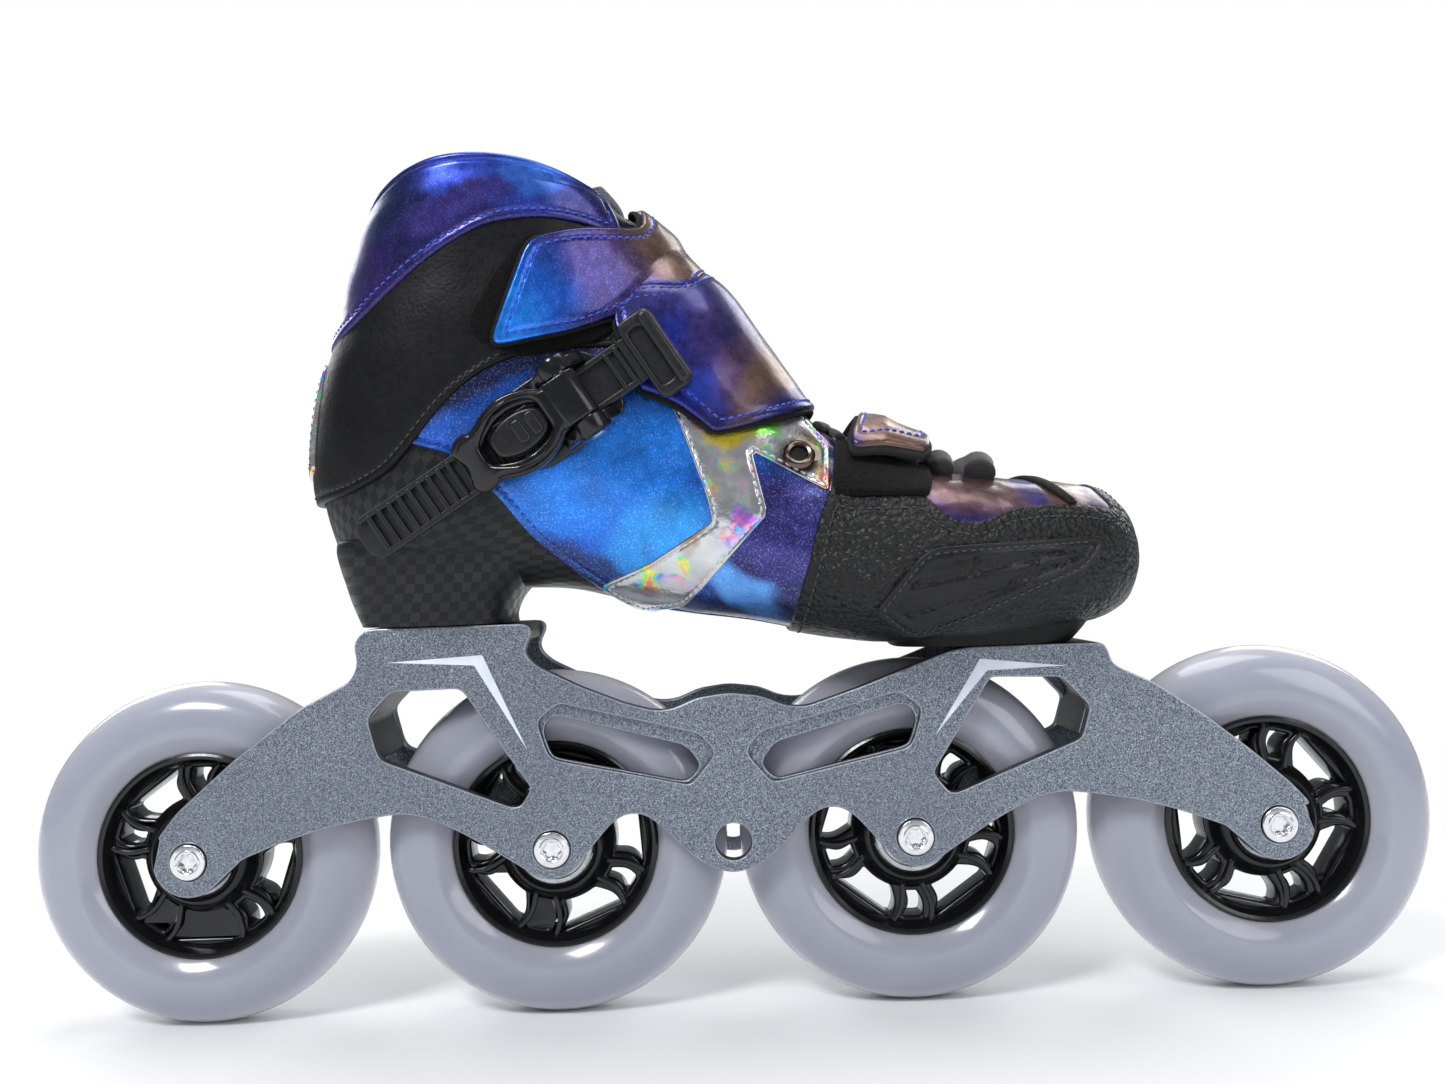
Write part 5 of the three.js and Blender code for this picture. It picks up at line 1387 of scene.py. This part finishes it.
def build_straps():
    for name, outline, reach, high in (("ankle", ANKLE_PAD, 5, 3.3), ("toe", TOE_PAD, 3, 3.4)):
        panel(f"{name}_loop_pad", both(shape_of(outline, reach, -1), below(30)), 1.4, high, "pile",
              "webbing", [f"{name}_strap_base"], roll=1.0, wrinkle=(0.25, 3))
    strap("ankle_strap", both(shape_of(ANKLE_STRAP, 4), rows(11, 19.35), above(90)), 3.9, 5.7, "ankle",
          "leather_blue", ["ankle_strap", "ankle_strap_flap"], "ankle_flap", stitch=2.6)
    strap("instep_strap", both(shape_of(INSTEP_STRAP, 6), rows(6.6, 13), above(78)), 3.9, 5.8, "instep",
          "leather_blue", ["instep_strap"])
    strap("toe_strap", both(shape_of(TOE_STRAP, 3.5), rows(4, 8), above(86)), 3.8, 5.7, "toe",
          "leather_bronze", ["toe_strap", "toe_strap_flap"], "toe_flap", arch, stitch=1.9)
    for name, side in SIDES:
        panel(f"toe_tab_{name}", shape_of(TOE_TAB, 1, side), 1.0, 2.7, "backing", "lace_black", roll=0.9)


def tube(path, radius, count=12, flat=1.0, lift=None):
    """A closed tube along points, with rounded ends. flat squeezes it along lift."""
    path = np.array(path, float)
    ahead = np.gradient(path, axis=0)
    ahead /= np.linalg.norm(ahead, axis=1, keepdims=True)
    lift = np.array(lift if lift is not None else [(0, 0, 1)] * len(path), float)
    across = np.cross(ahead, lift)
    across /= np.linalg.norm(across, axis=1, keepdims=True)
    up = np.cross(across, ahead)
    points, n = [], len(path)
    for k in range(n):
        near_end = min(k, n - 1 - k) / 3
        r = radius * (math.sqrt(max(0.04, 1 - (1 - near_end) ** 2)) if near_end < 1 else 1)
        for m in range(count):
            a = 2 * math.pi * m / count
            points.append(path[k] + across[k] * math.cos(a) * r + up[k] * math.sin(a) * r * flat)
    return points, ring_faces(n, count)


def boot_path(stations, lift, steps=14):
    """Points between (row, angle) stations on the boot, a height above it, with the way up at each."""
    stations = np.array(stations, float)
    at = np.linspace(0, len(stations) - 1, (len(stations) - 1) * steps + 1)
    t, phi = np.array(curve_between(stations, steps)).T
    height = lift(at) if callable(lift) else np.full(len(at), lift)
    return on_boot(t, phi, height), boot_normal(t, phi)


def build_lace():
    """Rows of round lace across the tongue, and crossed laces under the instep strap."""
    parts = []
    for t0, t1, radius, reach in ((5.5, 5.4, 3.8, 27), (4.95, 4.85, 3.7, 30), (4.45, 4.3, 4.6, 29)):
        path, up = boot_path([(t0, -reach), (t0 - 0.05, -reach * 0.5), (t1, 0), (t0 - 0.05, reach * 0.5),
                              (t0, reach)], lambda at: 2.6 + 2.2 * np.sin(np.pi * at / 4))
        parts.append(tube(path, radius, 18, 0.9, up))
    for t0, t1 in ((5.7, 6.3), (6.3, 6.9), (6.9, 7.5)):
        for side in (-1, 1):
            path, up = boot_path([(t0, side * 25), (t0 + 0.2, side * 12), ((t0 + t1) / 2, 0),
                                  (t1 - 0.2, -side * 12), (t1, -side * 25)],
                                 lambda at: 2.8 + 0.5 * side * np.cos(np.pi * at / 2))
            parts.append(tube(path, 1.7, 12, 0.75, up))
    piece = make_mesh("lace_cord", *joined(*parts), angle=80)
    finish_piece(piece, "lace", "lace_black", ROOT, ["lace"])


EYELET_RING = [(2.3, -0.6), (4.3, -0.2), (4.5, 0.15), (4.1, 0.8), (3.3, 1.15), (2.6, 0.9), (2.25, 0.2)]
EYELET_WELL = [(0.01, -0.9), (2.5, -0.9), (2.5, 0.0), (0.01, 0.0)]


def build_eyelets():
    for name, side in SIDES:
        t, phi = 7.75, -side * 62.0
        foot = on_boot(t, phi, 3.7)[0]
        up = boot_normal(t, phi)[0]
        turn = Vector((0, 1, 0)).rotation_difference(Vector(up)).to_matrix()
        for word, material, profile, nodes in (("ring", "bronze", EYELET_RING, [f"eyelet_{name}"]),
                                               ("well", "backing", EYELET_WELL, ())):
            points, faces = lathe(profile, 0, 0, 48, closed=word == "ring")
            points = np.array([turn @ Vector(p) for p in points]) + foot
            finish_piece(make_mesh(f"eyelet_{name}_{word}", points, faces), material, "eyelet_bronze",
                         ROOT, nodes)


# ------------------------------------------------------------------ ladder strap and buckle
# Local frame: x along the strap towards the toe, y outwards, z across the strap.
PIVOT, PIVOT_AXIS = joint_place("buckle_lever_lift")
BUCKLE_TILT = math.atan2(-PIVOT_AXIS.x, PIVOT_AXIS.z)
LADDER_Y = 40.0
PIN_Y = 6.9
LADDER_LOW, RIDGE_TOP, LADDER_HALF = 0.6, 3.4, 6.5
CHANNEL, CHEEK = 7.1, 10.5
RUNG_PITCH, RUNGS = 3.2, 26


def from_buckle(points):
    """Buckle's local frame to the side view."""
    p = np.asarray(points, float)
    c, s = math.cos(BUCKLE_TILT), math.sin(BUCKLE_TILT)
    return np.column_stack((PIVOT.x / MM + p[:, 0] * c + p[:, 2] * s, -LADDER_Y - p[:, 1],
                            PIVOT.z / MM + p[:, 0] * s - p[:, 2] * c))


def lying(outline, holes, y0, y1, bevel, steps=2, bend=None):
    """A plate in the strap's plane, from height y0 to y1. bend(x) lifts it."""
    points, faces = plate(outline, holes, y0, y1, bevel, steps)
    if bend:
        points[:, 1] += bend(points[:, 0])
    return points, faces


def standing(outline, z0, z1, bevel, steps=2, holes=()):
    """A plate seen from the strap's side: its outline is [x, y]."""
    points, faces = plate(outline, holes, z0, z1, bevel, steps)
    return points[:, [0, 2, 1]], [f[::-1] for f in faces]


def spool(profile, x, y, count=40):
    """Turned about the strap's cross direction from (radius, z) points."""
    points, faces = lathe(profile, x, y, count, closed=False)
    return points[:, [0, 2, 1]], [f[::-1] for f in faces]


def buckle_piece(name, parts, material, slot, body, nodes, angle=35):
    points, faces = joined(*parts)
    finish_piece(make_mesh(name, from_buckle(points), faces, angle), material, slot, body, nodes)


def box_plan(x0, x1, z0, z1, reach=0.6):
    return rounded([(x0, z0), (x1, z0), (x1, z1), (x0, z1)], reach, 3)


def build_ladder():
    tail, head, half = -69, 29, LADDER_HALF
    body = rounded([(tail + 3, -half), (head, -half), (head, half), (tail + 3, half), (tail, half - 3),
                    (tail, -half + 3)], 2, 3)
    parts = [lying(body, [], LADDER_LOW, 1.7, 0.3)]
    for side in (-1, 1):
        z = sorted((side * (half - 1.7), side * half))
        parts.append(lying(box_plan(tail + 2.2, 17.5, *z), [], 1.4, 3.0, 0.35))
    for x in (17 - RUNG_PITCH * k for k in range(RUNGS)):
        if x >= tail + 3.5 and not -10 < x < 12:
            parts.append(lying(box_plan(x - 1.5, x, -half + 0.8, half - 0.8), [], 1.4, RIDGE_TOP, 0.45))
    parts.append(lying(box_plan(17.5, head, -half, half), [], 1.4, 2.9, 0.3))
    buckle_piece("ladder_bar", parts, "ladder", "ladder_black", "ladder", ["ladder_strap"])
    x0, x1 = 19.5, 30
    rim = rounded([(x0, -10), (x1, -10), (x1, 14), (x0, 14)], 3, 4)
    well = rounded([(x0 + 2, -6.5), (x1 - 4.4, -6.5), (x1 - 4.4, 10.5), (x0 + 2, 10.5)], 1.6, 4)
    keeper = [
        lying(rim, [], -0.4, 3.8, 1.1, 3),
        lying(rim, [well], 3.2, 5.2, 0.8, 3),
        lying(box_plan(x1 - 4.3, x1 - 0.4, -9.4, 13.4, 1.8), [], 3.4, 6.8, 1.5, 4),
    ]
    buckle_piece("strap_keeper_frame", keeper, "ladder", "ladder_black", "ladder", ["strap_keeper"])


def build_buckle():
    cheek = rounded([(-9, -3.6), (8.3, -3.6), (8.6, 2.6), (4.4, 9.6), (-4.2, 9.6), (-9.2, 4)], 3, 5)
    parts = [lying(rounded([(-24, -8.6), (-17, -12.4), (6, -12.6), (11, -9), (11, 9.4), (2, 11.4), (-17, 11),
                            (-24, 7)], 4, 4), [], -3.4, -0.8, 0.8)]
    for side in (-1, 1):
        z = sorted((side * (CHANNEL + 0.1), side * CHEEK))
        parts.append(standing(cheek, *z, 0.7, 3))
        z = side * (CHEEK + 1.4)
        boss = [(0.01, side * CHANNEL), (5.0, side * CHANNEL), (5.0, side * CHEEK), (4.6, z - side * 0.4),
                (3.9, z), (0.01, z)]
        parts.append(spool(boss[::side], 0, PIN_Y - 0.6))
    buckle_piece("buckle_cheeks", parts, "buckle", "buckle_black", ROOT, ["buckle_base"])
    rim = CHEEK + 1.3
    end = [(0.01, -rim - 0.5), (2.1, -rim - 0.5), (2.4, -rim - 0.2)]
    pin = end + [(r, -z) for r, z in reversed(end)]
    buckle_piece("lever_pin_rod", [spool(pin, 0, PIN_Y - 0.6)], "steel", "axle_silver", ROOT, ["lever_pin"])

    def swell(x):
        """The lever rises over the pawl and drops to its tail."""
        return np.interp(x, [-36, -32, -26, -18, -9, -2, 4], [-3.4, -2.2, -0.6, 0.5, 0.4, 0, -0.4])
    half = [(2.6, 6.7), (-6.5, 6.7), (-8.5, 8.4), (-13, 10.4), (-18, 11), (-23.5, 9.8), (-27, 7.9),
            (-29.5, 7.8), (-32, 8.2), (-34.6, 6.6), (-35.4, 3.8), (-34.2, 1)]
    ring = rounded(doubled(half), 2.4, 4)
    inner = [(-8.4, 3.6), (-11, 5.4), (-16, 6.6), (-21, 6.2), (-26, 3.8), (-28.6, 2.2)]
    well = rounded(doubled(inner), 1.8, 4)
    ledge = rounded([(x * 0.97 - 0.5, z * 1.22) for x, z in doubled(inner)], 1.8, 4)
    raised = rounded([(x * 0.985 - 0.2, z * 0.9) for x, z in ring], 0.3, 1)
    parts = [
        lying(ring, [well], PIN_Y - 1.2, PIN_Y + 2.6, 0.9, 3, swell),
        lying(raised, [ledge], PIN_Y + 1.4, PIN_Y + 4.4, 1.3, 4, swell),
        standing(rounded([(-7.6, PIN_Y - 2), (-0.5, PIN_Y - 3.2), (2.7, PIN_Y - 1.6), (4.9, PIN_Y + 2),
                          (2, PIN_Y + 4.9), (-6.6, PIN_Y + 4.7)], 2, 5), -6.6, 6.6, 0.6, 3),
    ]
    for side in (-1, 1):
        lobe = circle(-31.2, side * 4.9, 4.2, 28, 3.5)
        parts.append(lying(lobe, [], PIN_Y + 0.4, PIN_Y + 4.2, 1.5, 4, swell))
    buckle_piece("buckle_lever_ring", parts, "buckle", "buckle_black", "lever", ["buckle_lever"], 50)
    nose = [(-8.8, 2.6), (-11.5, 4.6), (-16, 5.6), (-20.5, 5.2), (-25.2, 3.0)]
    pawl = [lying(rounded(doubled(nose), 2, 4), [], PIN_Y - 0.2, PIN_Y + 2.8, 1.1, 4)]
    for x in (-12.4, -16.6):
        pawl.append(lying(box_plan(x - 1.6, x + 1.6, -3.4, 3.4, 1.2), [], PIN_Y + 2.4, PIN_Y + 3.4, 0.6, 3))
    buckle_piece("release_pawl", pawl, "pawl", "pawl_grey", "pawl", ["buckle_pawl"], 50)


# ------------------------------------------------------------------ make it
def make_floor():
    """A pale round floor, eight metres in radius, that turns white for the camera away from the skate."""
    mesh = bpy.data.meshes.new("floor")
    mesh.from_pydata([(x, y, 0) for x, y in circle(0, 0, 8, 64)], [], [list(range(64))])
    floor = bpy.data.objects.new("floor", mesh)
    scene.collection.objects.link(floor)
    paint = Paint("floor_white", Roughness=0.8)
    paint.colour(paint.mix(paint.noise(400, 3), (0.86, 0.87, 0.88), (0.9, 0.9, 0.91)))
    far = paint.vector("LENGTH", paint.vector("MULTIPLY", paint.place, (1, 1.6, 0)))
    tree = paint.material.node_tree
    glow = tree.nodes.new("ShaderNodeEmission")
    either = tree.nodes.new("ShaderNodeMixShader")
    seen = tree.nodes.new("ShaderNodeLightPath").outputs["Is Camera Ray"]
    paint.feed(either.inputs[0], paint.math("MULTIPLY", seen, paint.span(far, 0.12, 0.45)))
    tree.links.new(paint.shader.outputs[0], either.inputs[1])
    tree.links.new(glow.outputs[0], either.inputs[2])
    output = next(node for node in tree.nodes if node.type == "OUTPUT_MATERIAL")
    tree.links.new(either.outputs[0], output.inputs["Surface"])
    floor.data.materials.append(paint.material)


make_camera()
make_lights()
make_floor()
build_wheels()
build_frame()
build_boot()
build_blocks()
build_straps()
build_lace()
build_eyelets()
build_ladder()
build_buckle()
paint_node("insole", "footbed")
build_stitches()
